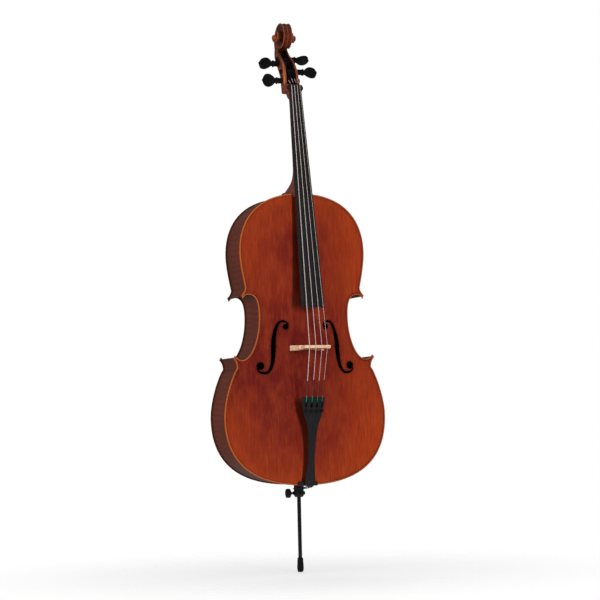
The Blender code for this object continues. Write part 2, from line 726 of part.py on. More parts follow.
def pegbox_cavity():
    e = CAVITY_CHAMFER
    return loft("pegbox_cavity", [
        [(-w, yf, z), (w, yf, z), (w, yb - e, z), (w - e, yb, z), (-w + e, yb, z), (-w, yb - e, z)]
        for z, yf, yb, w in CAVITY])


def spiral_radius(angle):
    for (a0, r0), (a1, r1) in zip(SPIRAL, SPIRAL[1:]):
        if a0 <= angle <= a1:
            return r0 + (r1 - r0) * (angle - a0) / (a1 - a0)


def scroll_turn(name, angles, half_width):
    """One turn of the spiral as a slab, added to the neck."""
    loop = [(EYE_Y + spiral_radius(a) * math.cos(math.radians(a)),
             EYE_Z + spiral_radius(a) * math.sin(math.radians(a))) for a in angles]
    cut(neck, slab(name, [loop], -half_width, half_width, plane="YZ"), "UNION")


neck = neck_body()
cut(neck, pegbox_cavity())

# ---------------------------------------------------------------- pegs
PEG_HOLE_HALF = 40           # half length of the cutter
PEG_HOLE_GAP = 0.45
HEAD_START = 1.6             # head beyond the collar's outer face
HEAD_LEN = 33.0
# Collar: distance beyond its outer face, radius in y, radius in z
PEG_COLLAR = ((-4.5, 8.8, 8.8), (-1.5, 9.4, 9.4), (0, 8.0, 8.0), (HEAD_START, 6.3, 6.8))
# Head: share of its length, radius in y, radius in z
PEG_HEAD = ((0.10, 6.4, 10.5), (0.28, 5.4, 15.2), (0.5, 5.2, 17.8), (0.72, 5.6, 17.2),
            (0.88, 6.0, 13.5), (0.97, 5.2, 8.0))
# Pip: distance beyond the head, radius in y, radius in z
PEG_PIP = ((0.2, 2.9, 3.2), (2.0, 2.4, 2.4))


def peg_radius(x):
    """Shaft radius at distance x along the peg, thin end negative."""
    return 6.9 + x * 0.021


def peg(name, spec):
    """Tapered peg from its thin end to its head, and its hole through the pegbox."""
    cut(neck, cylinder("peg_hole_" + name, peg_radius(-PEG_HOLE_HALF) + PEG_HOLE_GAP,
                       2 * PEG_HOLE_HALF, (0, spec.y, spec.z), (spec.side, 0, 0),
                       end_radius=peg_radius(PEG_HOLE_HALF) + PEG_HOLE_GAP))
    # The thin end follows the pegbox wall, which narrows upwards
    thin = (spec.z - 1060) * 0.06 - 25.0
    neck_end = spec.collar - 6
    head = spec.collar + HEAD_START
    stations = [(thin - 1.2, 4.4, 4.4), (thin, peg_radius(thin), peg_radius(thin)),
                (neck_end, peg_radius(neck_end), peg_radius(neck_end))]
    stations += [(spec.collar + x, ry, rz) for x, ry, rz in PEG_COLLAR]
    stations += [(head + share * HEAD_LEN, ry, rz) for share, ry, rz in PEG_HEAD]
    stations += [(head + HEAD_LEN + x, ry, rz) for x, ry, rz in PEG_PIP]
    c, s = math.cos(math.radians(spec.turn)), math.sin(math.radians(spec.turn))
    rings = []
    for x, ry, rz in stations:
        ring = []
        for k in range(14):
            a = 2 * math.pi * k / 14
            y, z = ry * math.cos(a), rz * math.sin(a)
            ring.append((spec.side * x, c * y - s * z, s * y + c * z))
        rings.append(ring)
    loft("peg_" + name, rings, EBONY, pivot=(0, spec.y, spec.z))


for string in STRINGS:
    peg(string.name, PEGS[string.name])

# The scroll is added after the pegbox and its holes have been cut
scroll_turn("scroll_turn_outer", range(-40, 320, 20), 12.5)
scroll_turn("scroll_turn_inner", range(310, 670, 24), 23.5)
cut(neck, cylinder("scroll_eye", 8.2, 65, (0, EYE_Y, EYE_Z), (1, 0, 0), verts=14), "UNION")

# ---------------------------------------------------------------- fingerboard, nut, saddle
GLUE_GAP = 0.35
# z, depth of the hollow underneath
BOARD_STATIONS = [(NUT_Z - BOARD_LEN, 5.5), (560, 5.0), (660, 4.5), (728, 3.6), (738, 0.01),
                  (880, 0.01), (NUT_Z - GAP, 0.01)]
CROWN_SHARES = (-1, -.66, -.33, 0, .33, .66, 1)   # of the half width, across a crowned top


def board_ring(z, hollow):
    half, top = board_half(z), board_top(z)
    low = glue_y(z) - GLUE_GAP
    points = [(f * half, top + sag(f * half, BOARD_R), z) for f in CROWN_SHARES]
    points.append((half, low, z))
    points += [(f * (half - 5), low - hollow * (1 - f * f), z) for f in (1, .5, 0, -.5, -1)]
    points.append((-half, low, z))
    return points


NUT_HALF = 22.0
NUT_SEAT_LOW = 1030.5
NUT_START, NUT_END = 0.1, 9.7    # ends of the middle of the nut, above NUT_Z
EAR_START, EAR_END = -3.0, 7.5   # ends of the ears, above NUT_Z
NUT_CHAMFER = 1.0
NUT_RISE = [(0.1, 0.25), (4.5, 0.0), (8.0, 1.8), (9.7, 4.5)]   # height above NUT_Z, drop
NUT_RIGHT = [16.2, 21.2, NUT_HALF]


def nut_seat(z):
    start = glue_y(NUT_SEAT_LOW)
    rise = (NUT_SEAT_Y - start) / (NUT_SEAT_TOP - NUT_SEAT_LOW)
    return start + (z - NUT_SEAT_LOW) * rise - GLUE_GAP


def nut_section(x):
    """Crest at the fingerboard's end; at the sides, ears reach down over the pegbox shoulders."""
    end = NUT_CHAMFER if abs(x) > NUT_HALF - 0.1 else 0.0
    if abs(x) > 16:
        low, high = NUT_Z + EAR_START + end, NUT_Z + EAR_END - end
    else:
        low, high = NUT_Z + NUT_START, NUT_Z + NUT_END
    top = NUT_TOP_Y + sag(x, NUT_R) + 1.2 * end
    scale = (high - low) / (NUT_END - NUT_START)
    points = [(x, top + drop, low + (up - NUT_START) * scale) for up, drop in NUT_RISE]
    return points + [(x, nut_seat(high), high), (x, nut_seat(low), low)]


def saddle():
    ob = box("saddle", (-SADDLE_HALF, -74.6, -1.0), (SADDLE_HALF, -HALF_DEPTH, SADDLE_TOP), EBONY)
    bevel = ob.modifiers.new("edges", "BEVEL")
    bevel.width = 2.2 * MM
    bevel.segments = 2
    bevel.limit_method = "ANGLE"


loft("fingerboard", [board_ring(z, hollow) for z, hollow in BOARD_STATIONS], EBONY)
nut_xs = [-x for x in reversed(NUT_RIGHT)] + [-15.9, -10, -5, 0, 5, 10, 15.9] + NUT_RIGHT
loft("nut", [nut_section(x) for x in nut_xs], EBONY)
saddle()

# ---------------------------------------------------------------- bridge
# Right half in (x, y). Foot: x, x at which the arch is read, height above it
BRIDGE_FOOT = [(21, 21, 0), (29, 29, 0), (38, 38, 0), (46, 46, 0), (46.4, 46, 4.5), (42, 42, 8),
               (35.5, 35, 13)]
BRIDGE_SIDE = [(31.5, -104), (29.5, -118), (30, -125), (35, -127), (41.5, -132), (42.3, -139),
               (38, -144.5), (33.5, -147), (35.5, -152), (36.5, -160), (34.0, -166.2)]
BRIDGE_ARCHWAY = [(23.5, -92), (21, -103), (14, -111), (0, -114)]   # between the feet
BRIDGE_HEART = [(0, -126), (8, -133), (9.5, -139), (5.5, -143), (0, -140)]
FOOT_T, FOOT_Y = 13.5, -84       # thickness at the feet
BRIDGE_THINNING, THINNING_RISE = 6.5, 88


def bridge():
    half = [(x, -PLATE_Y - arch(at, STOP_Z, ARCH_FRONT) - 0.35 - up) for x, at, up in BRIDGE_FOOT]
    half += BRIDGE_SIDE
    half += [(x, BRIDGE_TOP_Y + sag(x, BRIDGE_R)) for x in (30, 20, 10, 0)]
    archway = on_side(-1, BRIDGE_ARCHWAY[:-1]) + BRIDGE_ARCHWAY[::-1]
    ob = slab("bridge", [mirrored(half) + archway, mirrored(BRIDGE_HEART)], -0.5, 0.5,
              BRIDGE_MAPLE, pivot=(0, 0, STOP_Z), plane="XY")
    # The slab is 1 mm thick, so scaling gives the tapered thickness
    for v in ob.data.vertices:
        share = min(1, max(0, (FOOT_Y - v.co.y / MM) / THINNING_RISE))
        v.co.z *= FOOT_T - BRIDGE_THINNING * share
    ob.data.update()


bridge()

# ---------------------------------------------------------------- tailpiece
TAIL_TOP = Vector((0, -134.0, 228.0))     # origin of the tailpiece's distances, at its crown
TAIL_DOWN = Vector((0, 0.2073, -0.9783)).normalized()
TAIL_OUT = Vector((0, -0.9783, -0.2073)).normalized()
TAIL_R = 55
TAIL_START, TAIL_END = 4.5, 239.0
# distance along, half width
TAIL_PLAN = [(TAIL_START, 31.2), (10, 31.3), (20, 30), (41, 26.5), (59, 20.5), (77, 15),
             (104, 10.6), (128, 9.2), (161, 8.8), (182, 10), (204, 12.2), (218, 13.6),
             (228, 13.0), (235, 9.5), (TAIL_END, 4.5)]
TAIL_DEEP, TAIL_SHALLOW = 13.6, 6.4       # underside below the crown
AXLE_S, AXLE_H = 20.0, -10.0              # tuner axle: distance along, height
SCREW_S = 38.0
SLOT_HALF = 2.6


def tail_point(x, height, along):
    """Point from its height over the crown line and its distance down the tailpiece."""
    return TAIL_TOP + TAIL_OUT * height + TAIL_DOWN * along + Vector((x, 0, 0))


def tail_ring(along, half):
    deep = min(TAIL_DEEP, max(TAIL_SHALLOW, TAIL_DEEP - (along - 50) * 0.11))
    soft = 0.8 if along in (TAIL_START, TAIL_END) else 0
    section = [(f * half, -sag(f * half, TAIL_R) - soft) for f in CROWN_SHARES]
    edge = -sag(half, TAIL_R) - 2.5
    section += [(half, edge), (half * .9, -deep + soft), (0, -deep + soft),
                (-half * .9, -deep + soft), (-half, edge)]
    return [tail_point(x, height, along) for x, height in section]


def tail_box(name, x, half, h0, h1, s0, s1):
    """Box cutter in the tailpiece's own directions: heights h, distances along s."""
    loft(name, rings := [[tail_point(x + e * half, h, s)
                          for h, e in ((h0, -1), (h0, 1), (h1, 1), (h1, -1))]
                         for s in (s0, s1)])
    return bpy.data.objects[name]


def tailpiece():
    tail = loft("tailpiece", [tail_ring(*station) for station in TAIL_PLAN], EBONY)
    for string in STRINGS:
        x = string.place * TUNER_PITCH
        cut(tail, tail_box("tuner_slot_" + string.name, x, SLOT_HALF, -20, 6, 10.0, 29.5))
        cut(tail, tail_box("tuner_pocket_" + string.name, x, SLOT_HALF, -20, -7.2, 26, 46))
        centre = tail_point(x, -sag(x, TAIL_R) - 2, SCREW_S)
        cut(tail, cylinder("tuner_hole_" + string.name, 2.1, 14, centre, TAIL_OUT, verts=12))
    cut(tail, tail_box("cord_pocket", 0, 8.0, -14, -4.2, 186, 208))
    cut(tail, cylinder("tuner_axle_hole", 1.55, 60, AXLE, (1, 0, 0), verts=12))


# ---------------------------------------------------------------- fine tuners
AXLE = tail_point(0, AXLE_H, AXLE_S)
LEVER_HALF = 1.9
SCREW_TIP_H = -8.3


def lever(name, x):
    """Bell crank: short forked arm to the string, long arm under the screw."""
    top = -sag(x, TAIL_R) + 1.6
    # height, distance along
    profile = [(top, 11.6), (top, 14.4), (top - 3.9, 16.0), (-7.0, 21), (-7.8, 24), (-8.7, 27),
               (-8.7, 41), (-11.4, 41), (-11.6, 27), (-13.0, 22.5), (-13.2, 18.5), (-11.5, 16),
               (-6, 11.6)]
    pivot = AXLE + Vector((x, 0, 0))
    rings = [[tail_point(e, h, s) - AXLE for h, s in profile] for e in (-LEVER_HALF, LEVER_HALF)]
    ob = loft("fine_tuner_lever_" + name, rings, BLACK_METAL, pivot=pivot)
    cut(ob, cylinder("lever_bore_" + name, 1.5, 12, pivot, (1, 0, 0), verts=12))
    cut(ob, tail_box("lever_fork_" + name, x, 1.15, top - 3.2, top + 3, 8, 18))


def tuner_screw(name, x):
    drop = sag(abs(x) - 3.9, TAIL_R)     # crown under the inner side of the screw's head
    tip = SCREW_TIP_H + drop
    profile = [(0, 6.2), (2.6, 6.2), (3.9, 5.2), (3.9, 1.6), (3.2, 0.7), (1.65, 0.7),
               (1.65, tip + 0.5), (1.1, tip), (0, tip)]
    turned("fine_tuner_screw_" + name, profile, BLACK_METAL,
           pivot=tail_point(x, -drop, SCREW_S), rot=facing(TAIL_OUT), steps=12)


tailpiece()
cylinder("fine_tuner_axle", 1.2, 50, AXLE, (1, 0, 0), STEEL, verts=12)
for string in STRINGS:
    lever(string.name, string.place * TUNER_PITCH)
    tuner_screw(string.name, string.place * TUNER_PITCH)

# ---------------------------------------------------------------- strings
TURN_STEPS = 9               # points in each turn on the peg
RIM_STEPS = 18               # points on a peg the string may pass over
# Pegs each string runs over, ending on its own
PEG_PATHS = {"c": "c", "g": "ag", "d": "agd", "a": "a"}
# Ball end: distance along the tailpiece, radius
BALL_END = ((20.4, 1.0), (19.7, 1.9), (17.3, 1.9), (16.6, 1.0))
# Over the nut: distance above NUT_Z, drop below the crest
NUT_PATH = ((3.5, 0.06), (7.6, 1.5), (10.5, 4.6))


def front_chain(y, z, wheels):
    """Taut path in (y, z) over the front of each peg (y, z, radius) to the last one.

    Returns its points and the angle of the last one on its peg.
    """
    rim = []
    for k, (cy, cz, r) in enumerate(wheels):
        for j in range(RIM_STEPS):
            a = 2 * math.pi * j / RIM_STEPS
            rim.append((cy + r * math.cos(a), cz + r * math.sin(a), k, a))
    path = []
    wheel = -1
    while wheel < len(wheels) - 1:
        best = rim[0]
        for point in rim[1:]:
            turn = (best[0] - y) * (point[1] - z) - (best[1] - z) * (point[0] - y)
            if turn > 1e-9:
                best = point
        y, z, wheel, angle = best
        path.append((y, z))
        rim = [p for p in rim if p[2] > wheel or (p[2] == wheel and p[1] > z)]
    return path, angle


def peg_wheels(string):
    """Circles around which the string's polygon clears each peg on its way."""
    own = PEGS[string.name]
    wheels = []
    for name in PEG_PATHS[string.name]:
        other = PEGS[name]
        radius = peg_radius(other.side * own.side * own.coil) + string.radius + STRING_GAP
        steps = TURN_STEPS if name == string.name else RIM_STEPS
        wheels.append((other.y, other.z, radius / math.cos(math.pi / steps)))
    return wheels


def build_string(string):
    """From the ball end in its tuner, over the bridge and nut, to two turns on its peg."""
    r = string.radius
    own = PEGS[string.name]
    coil_x = own.side * own.coil
    tuner_x, bridge_x = string.place * TUNER_PITCH, string.place * BRIDGE_PITCH
    crown = -sag(tuner_x, TAIL_R)
    path = [tail_point(tuner_x, crown + 0.3, s) for s in [s for s, _ in BALL_END] + [16.2, 14.2]]
    path += [tail_point(tuner_x, crown + r + 0.8, 9.6), tail_point(tuner_x, crown + r + 0.9, 3.5)]
    bridge_y = BRIDGE_TOP_Y + sag(bridge_x, BRIDGE_R) - 0.35 - r
    path += [(bridge_x, bridge_y, STOP_Z + dz) for dz in (-3.7, 3.7)]
    nut_y = NUT_TOP_Y + sag(string.nut_x, NUT_R) - 0.45 - r
    path += [(string.nut_x, nut_y + drop, NUT_Z + dz) for dz, drop in NUT_PATH]

    # In the pegbox it moves sideways in step with its distance from the nut
    wheels = peg_wheels(string)
    _, y0, z0 = path[-1]
    chain, angle = front_chain(y0, z0, wheels)
    total = math.hypot(chain[-1][0] - y0, chain[-1][1] - z0)
    for y, z in chain:
        share = math.hypot(y - y0, z - z0) / total
        path.append((string.nut_x + (coil_x - string.nut_x) * share, y, z))
    cy, cz, cr = wheels[-1]
    for j in range(1, 2 * TURN_STEPS + 1):
        a = angle - 2 * math.pi * j / TURN_STEPS
        x = own.side * (own.coil - (2 * r + STRING_GAP) * j / TURN_STEPS)
        path.append((x, cy + cr * math.cos(a), cz + cr * math.sin(a)))
    tube("string_" + string.name, path, r, STEEL, factors=[ball / r for _, ball in BALL_END])


for string in STRINGS:
    build_string(string)

# ---------------------------------------------------------------- endpin
THUMBSCREW_Z = -21.2
ROD_TOP = 268.0
# Profiles: radius, height
PLUG = [(5.45, 38), (11.0, 38), (12.55, 3.6), (12.9, 2.4), (12.9, -25.6), (12.1, -28.4),
        (10.4, -30.8), (8.2, -32), (5.45, -32)]
COLLAR = [(13.25, -17), (15.8, -17), (16.5, -17.8), (16.5, -24.6), (15.8, -25.4), (13.25, -25.4)]
THUMBSCREW = [(0, 35.6), (7, 35.6), (10.8, 34.6), (12, 32.8), (12, 26.3), (10.8, 24.2),
              (6.5, 23.0), (4.2, 20.6), (2.75, 20.4), (2.75, 6.4), (2.0, 5.4), (0, 5.4)]
TIP = [(0, 9.0), (5.4, 9.0), (5.4, 37), (6.9, 37), (7.3, 35.5), (8.0, 22), (8.7, 10),
       (8.5, 6.2), (7.5, 2.6), (5.5, 0), (0, 0)]


def endpin():
    pivot = (0, ENDPIN_Y, 0)
    plug = turned("endpin_plug", PLUG, EBONY, pivot, steps=20, closed=True)
    collar = turned("endpin_collar", COLLAR, BLACK_METAL, pivot, steps=20, closed=True)
    hole = cylinder("thumbscrew_hole", 3.2, 24, (-15, ENDPIN_Y, THUMBSCREW_Z), (1, 0, 0), verts=14)
    cut(plug, hole)
    cut(collar, hole)
    turned("endpin_thumbscrew", THUMBSCREW, BLACK_METAL, (0, ENDPIN_Y, THUMBSCREW_Z),
           rot=(0, -math.pi / 2, 0), steps=14)
    rod_low = -ENDPIN_OUT + 9.0 + GAP        # just above the socket's floor in the tip
    cylinder("endpin_rod", 5.0, ROD_TOP - rod_low, (0, ENDPIN_Y, (ROD_TOP + rod_low) / 2),
             (0, 0, 1), BLACK_METAL, verts=20)
    turned("endpin_tip", TIP, RUBBER, (0, ENDPIN_Y, -ENDPIN_OUT), steps=20)


# ---------------------------------------------------------------- tail cord
CORD_LOOP_R = 14.75


def tail_cord():
    """From the tailpiece over the saddle, round behind the endpin and back."""
    lead = [tail_point(5.2, -6.0, 196), tail_point(5.2, -8.6, 209), (5.6, -76.6, 8.5),
            (6.2, -76.4, -0.5), (7.2, -72, -3.6), (10, -40, -7), (14.6, 0, -9.5)]
    loop = []
    for i in range(9):
        a = math.pi * i / 8
        loop.append((CORD_LOOP_R * math.cos(a), ENDPIN_Y + CORD_LOOP_R * math.sin(a), -9.8))
    tube("tail_cord", lead + loop + [(-x, y, z) for x, y, z in lead[::-1]], 1.4, CORD)


endpin()
tail_cord()
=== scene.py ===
"""A cello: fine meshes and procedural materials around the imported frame.

Shapes are drawn in the body's own directions, in millimetres: x to the treble side, y to the back,
z up from the body's bottom edge. world() turns them into the row frame in metres, where the
endpin stands on the floor at the origin.
"""
import math
from collections import namedtuple

import bmesh
import bpy
import numpy as np
from mathutils import Matrix, Vector
from mathutils.geometry import delaunay_2d_cdt

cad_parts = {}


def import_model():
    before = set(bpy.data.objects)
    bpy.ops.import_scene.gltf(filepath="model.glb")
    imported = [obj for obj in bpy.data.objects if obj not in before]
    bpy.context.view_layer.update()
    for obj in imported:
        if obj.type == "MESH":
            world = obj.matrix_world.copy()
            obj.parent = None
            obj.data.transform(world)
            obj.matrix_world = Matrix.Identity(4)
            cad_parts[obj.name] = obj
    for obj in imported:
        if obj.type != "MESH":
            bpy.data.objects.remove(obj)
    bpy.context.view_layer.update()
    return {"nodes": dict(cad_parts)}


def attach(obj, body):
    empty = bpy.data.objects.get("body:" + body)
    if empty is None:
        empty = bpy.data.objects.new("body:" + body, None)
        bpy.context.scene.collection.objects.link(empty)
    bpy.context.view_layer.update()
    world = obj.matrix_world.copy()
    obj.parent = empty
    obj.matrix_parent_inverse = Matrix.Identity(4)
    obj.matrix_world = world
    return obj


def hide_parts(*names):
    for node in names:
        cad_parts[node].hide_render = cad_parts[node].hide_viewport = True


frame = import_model()
ROOT = "instrument"
SIDES = ((-1, "bass"), (1, "treble"))

# ------------------------------------------------------------------ sizes shared between pieces
PIN_Y, PIN_OUT = 7.0, 226.0    # endpin axis, and its reach below the body
BODY_LENGTH = 755.4
RIB_HEIGHT, RIB_THICK = 116.0, 1.2
EDGE_THICK, OVERHANG = 4.6, 3.0    # plate edge, and how far it stands out past the ribs
ARCH_FRONT, ARCH_BACK, ARCH_MARGIN = 21.4, 22.4, 12.0
PLATE_SEAT = RIB_HEIGHT / 2
PLATE_FACE = RIB_HEIGHT / 2 + EDGE_THICK

BRIDGE_Z, BRIDGE_CREST_Y, BRIDGE_CREST_R = 353.0, -173.0, 70
NUT_Z, NUT_CREST_Y, NUT_CREST_R = 1034.0, -41.4, 58
BOARD_LENGTH, BOARD_NUT_Y, BOARD_SLOPE, BOARD_R = 580.0, -41.0, 0.181, 62.0
EYE_Y, EYE_Z = 47.5, 1182.0    # centre of the scroll's spiral

String = namedtuple("String", "nut_x bridge_x tuner_x radius")
STRINGS = {"c": String(-11.6, -24.0, -21.45, 0.95),
           "g": String(-3.9, -8.0, -7.15, 0.75),
           "d": String(3.9, 8.0, 7.15, 0.6),
           "a": String(11.6, 24.0, 21.45, 0.5)}

# side of the head, axis height and depth, collar and winding distance from the middle, head angle
Peg = namedtuple("Peg", "side z y collar coil turn")
PEGS = {"c": Peg(-1, 1060.5, 5.0, 41.0, 9.0, 0.0),
        "g": Peg(-1, 1111.5, 39.0, 38.5, 5.5, 40.0),
        "d": Peg(1, 1126.0, 54.0, 34.0, 5.5, 55.0),
        "a": Peg(1, 1087.0, 17.0, 43.0, 9.0, -24.0)}


def world(p):
    return (p[0] / 1000, (p[1] - PIN_Y) / 1000, (p[2] + PIN_OUT) / 1000)


def clamp(value):
    return min(1.0, max(0.0, value))


# ------------------------------------------------------------------ shader building
def fill(tree, target, inputs):
    """Link a socket, or set a value, on each listed input."""
    for key, value in inputs.items():
        if isinstance(value, bpy.types.NodeSocket):
            tree.links.new(value, target.inputs[key])
        else:
            target.inputs[key].default_value = value


def add_node(tree, kind, inputs=None, **settings):
    made = tree.nodes.new(kind)
    for key, value in settings.items():
        setattr(made, key, value)
    fill(tree, made, inputs or {})
    return made


class Surface:
    """A Principled material under construction; most methods add nodes and return a socket."""

    def __init__(self, name):
        self.material = bpy.data.materials.new(name)
        self.material.use_nodes = True
        self.tree = self.material.node_tree
        self.principled = self.tree.nodes["Principled BSDF"]

    def node(self, kind, inputs=None, **settings):
        return add_node(self.tree, kind, inputs, **settings)

    def set(self, inputs):
        fill(self.tree, self.principled, inputs)

    def object_coords(self):
        return self.node("ShaderNodeTexCoord").outputs["Object"]

    def axes(self):
        return self.node("ShaderNodeSeparateXYZ", {"Vector": self.object_coords()}).outputs

    def attribute(self, name):
        return self.node("ShaderNodeAttribute", attribute_name=name).outputs["Fac"]

    def noise(self, scale, detail=3.0, roughness=0.5):
        """Noise with its own scale on each axis, in cycles per metre."""
        vector = self.node("ShaderNodeMapping", {"Vector": self.object_coords(), "Scale": scale})
        return self.node("ShaderNodeTexNoise", {
            "Vector": vector.outputs["Vector"], "Scale": 1.0, "Detail": detail,
            "Roughness": roughness}).outputs["Fac"]

    def calc(self, operation, *values):
        inputs = dict(enumerate(values))
        return self.node("ShaderNodeMath", inputs, operation=operation).outputs[0]

    def waves(self, position, per_metre):
        return self.calc("SINE", self.calc("MULTIPLY", position, per_metre * 2 * math.pi))

    def smooth_range(self, value, *limits):
        """Smoothstep; limits are from low, from high, to low, to high."""
        inputs = dict(enumerate((value, *limits)))
        return self.node("ShaderNodeMapRange", inputs,
                         interpolation_type="SMOOTHSTEP").outputs[0]

    def ramp(self, factor, stops):
        """Colour ramp; each stop is a position and a grey level or colour."""
        made = self.node("ShaderNodeValToRGB", {"Fac": factor})
        elements = made.color_ramp.elements
        while len(elements) < len(stops):
            elements.new(0.5)
        for element, (position, colour) in zip(elements, stops):
            element.position = position
            element.color = (colour,) * 3 + (1,) if np.isscalar(colour) else (*colour, 1)
        return made.outputs["Color"]

    def mix(self, factor, first, second):
        colours = [c if isinstance(c, bpy.types.NodeSocket) else (*c, 1) for c in (first, second)]
        return self.node("ShaderNodeMix", {0: factor, 6: colours[0], 7: colours[1]},
                         data_type="RGBA", blend_type="MIX").outputs[2]

    def stain(self, colour, tint, mask, start, end, amount):
        """Tint where the mask rises from start to end, up to amount."""
        return self.mix(self.ramp(mask, [(start, 0.0), (end, amount)]), colour, tint)

    def bump(self, height, strength, distance):
        made = self.node("ShaderNodeBump",
                         {"Height": height, "Strength": strength, "Distance": distance})
        self.set({"Normal": made.outputs["Normal"]})

    def varnish(self, roughness, coat, coat_roughness):
        self.set({"Roughness": roughness, "Coat Weight": coat, "Coat Roughness": coat_roughness,
                  "IOR": 1.5, "Specular IOR Level": 0.32})


# ------------------------------------------------------------------ materials
def spruce_material():
    """Straight-grained top: fine dark lines, redder in the middle, orange on the raised edge."""
    wood = Surface("varnished_spruce")
    lines_per_metre, wobble_size = 560.0, 0.004
    wobble = wood.noise((30, 30, 1.6), detail=2.0)
    axes = wood.axes()
    across = wood.calc("ADD", axes["X"], wood.calc("MULTIPLY", wobble, wobble_size))
    line = wood.calc("FRACT", wood.calc("MULTIPLY", across, lines_per_metre))
    ring = wood.ramp(line, [(0.0, 0.25), (0.55, 0.62), (0.86, 1.0), (1.0, 0.3)])
    broad = wood.noise((34, 30, 17), detail=4.0, roughness=0.6)
    fine = wood.noise((420, 300, 9), roughness=0.6)
    cloud = wood.noise((7, 7, 4))
    # red deepens inward from the edge and again around the waist; the lightening toward the treble
    # side is a painted highlight
    deep = wood.ramp(wood.attribute("inset"), [
        (0.0, (0.45, 0.050, 0.0075)), (0.30, (0.37, 0.039, 0.0075)),
        (0.85, (0.275, 0.023, 0.0085)), (1.0, (0.235, 0.019, 0.0085))])
    from_waist = wood.calc("ABSOLUTE", wood.calc("SUBTRACT", axes["Z"], 0.575))
    waist = wood.smooth_range(from_waist, 0.06, 0.22, 0.92, 0.0)
    deep = wood.mix(waist, deep, (0.155, 0.0075, 0.0065))
    treble = wood.smooth_range(axes["X"], 0.03, 0.16, 0.0, 0.55)
    deep = wood.mix(treble, deep, (0.54, 0.058, 0.008))
    # grain lines and patches over it
    colour = wood.mix(wood.calc("MULTIPLY", ring, 0.34), deep, (0.05, 0.006, 0.004))
    colour = wood.stain(colour, (0.42, 0.058, 0.013), broad, start=0.42, end=0.70, amount=0.40)
    streaks = wood.noise((360, 60, 32), roughness=0.7)
    colour = wood.stain(colour, (0.10, 0.009, 0.006), streaks, start=0.46, end=0.68, amount=0.34)
    light_streaks = wood.ramp(streaks, [(0.28, 0.26), (0.46, 0.0)])
    colour = wood.mix(light_streaks, colour, (0.50, 0.072, 0.016))
    colour = wood.stain(colour, (0.07, 0.008, 0.005), fine, start=0.5, end=0.72, amount=0.35)
    colour = wood.stain(colour, (0.10, 0.010, 0.007), cloud, start=0.45, end=0.7, amount=0.14)
    # lighter edge from 'rim': partly wear, partly a painted highlight that is stronger on the bass
    # side
    colour = wood.mix(wood.attribute("rim"), colour, (0.56, 0.13, 0.026))
    # painted shade from 'dark': round the sound holes and just inside the treble-side edge
    colour = wood.mix(wood.attribute("dark"), colour, (0.035, 0.008, 0.004))
    wood.set({"Base Color": colour})
    wood.varnish(roughness=0.42, coat=0.25, coat_roughness=0.25)
    height = wood.calc("ADD", wood.calc("MULTIPLY", ring, -0.6), fine)
    wood.bump(height, strength=0.25, distance=0.00012)
    return wood.material


def maple_material(name, flame_axis, base, bright, spacing, strength, dark=(0.06, 0.012, 0.007),
                   grain=(300, 300, 14), edge=(0.50, 0.15, 0.04)):
    """Flamed maple: soft bands across the grain, short pores along it.

    flame_axis is an axis name, or 'along' for the mesh attribute; spacing is bands per metre.
    """
    wood = Surface(name)
    along = flame_axis == "along"
    position = wood.attribute("along") if along else wood.axes()[flame_axis]
    warp = wood.noise((9, 9, 9), roughness=0.6)
    ripple = wood.noise((50, 50, 50), detail=2.0)
    position = wood.calc("ADD", position, wood.calc("MULTIPLY", warp, 0.05))
    position = wood.calc("ADD", position, wood.calc("MULTIPLY", ripple, 0.006))
    band = wood.calc("MULTIPLY_ADD", wood.waves(position, spacing), 0.5, 0.5)
    patches = wood.noise((14, 14, 14), detail=2.0)
    band = wood.calc("MULTIPLY", band, wood.ramp(patches, [(0.3, 0.15), (0.65, 1.0)]))
    colour = wood.mix(wood.calc("MULTIPLY", band, strength), base, bright)
    pores = wood.noise(grain, detail=4.0, roughness=0.65)
    colour = wood.stain(colour, dark, pores, start=0.52, end=0.70, amount=0.55)
    cloud = wood.noise((6, 6, 6))
    colour = wood.stain(colour, dark, cloud, start=0.42, end=0.72, amount=0.45)
    # lighter edge from 'rim': wear on edges and chamfers, plus a painted highlight on the neck's
    # bass side
    colour = wood.mix(wood.attribute("rim"), colour, edge)
    # painted shade from 'dark': in the pegbox hollow, the scroll's crevices and along shaded edges
    colour = wood.mix(wood.attribute("dark"), colour, (0.012, 0.006, 0.004))
    wood.set({"Base Color": colour})
    wood.varnish(roughness=0.4, coat=0.3, coat_roughness=0.22)
    wood.bump(pores, strength=0.18, distance=0.0001)
    return wood.material


def ebony_material(name, grain, roughness, tone, brown, shine):
    wood = Surface(name)
    streak = wood.noise(grain, detail=4.0, roughness=0.6)
    colour = wood.stain(tone, brown, streak, start=0.5, end=0.75, amount=0.6)
    cloud = wood.noise((12, 12, 4))
    colour = wood.stain(colour, (0.014, 0.0145, 0.016), cloud, start=0.4, end=0.7, amount=0.4)
    wood.set({"Base Color": colour, "Specular IOR Level": shine,
              "Roughness": wood.calc("MULTIPLY_ADD", cloud, 0.16, roughness - 0.08)})
    wood.bump(streak, strength=0.12, distance=0.00008)
    return wood.material


def bridge_maple_material():
    wood = Surface("bridge_maple")
    flecks = wood.noise((60, 900, 500), roughness=0.6)
    fine = wood.noise((500, 1200, 1200), detail=2.0)
    cloud = wood.noise((30, 40, 30), detail=2.0)
    colour = wood.stain((0.95, 0.60, 0.40), (0.60, 0.32, 0.17), flecks,
                        start=0.5, end=0.66, amount=0.75)
    colour = wood.stain(colour, (0.82, 0.47, 0.28), cloud, start=0.4, end=0.7, amount=0.35)
    colour = wood.stain(colour, (0.52, 0.28, 0.16), fine, start=0.55, end=0.75, amount=0.3)
    wood.set({"Base Color": colour, "Roughness": 0.5, "Subsurface Weight": 0.05,
              "Subsurface Radius": (0.002, 0.001, 0.0005)})
    wood.bump(fine, strength=0.15, distance=0.0001)
    return wood.material


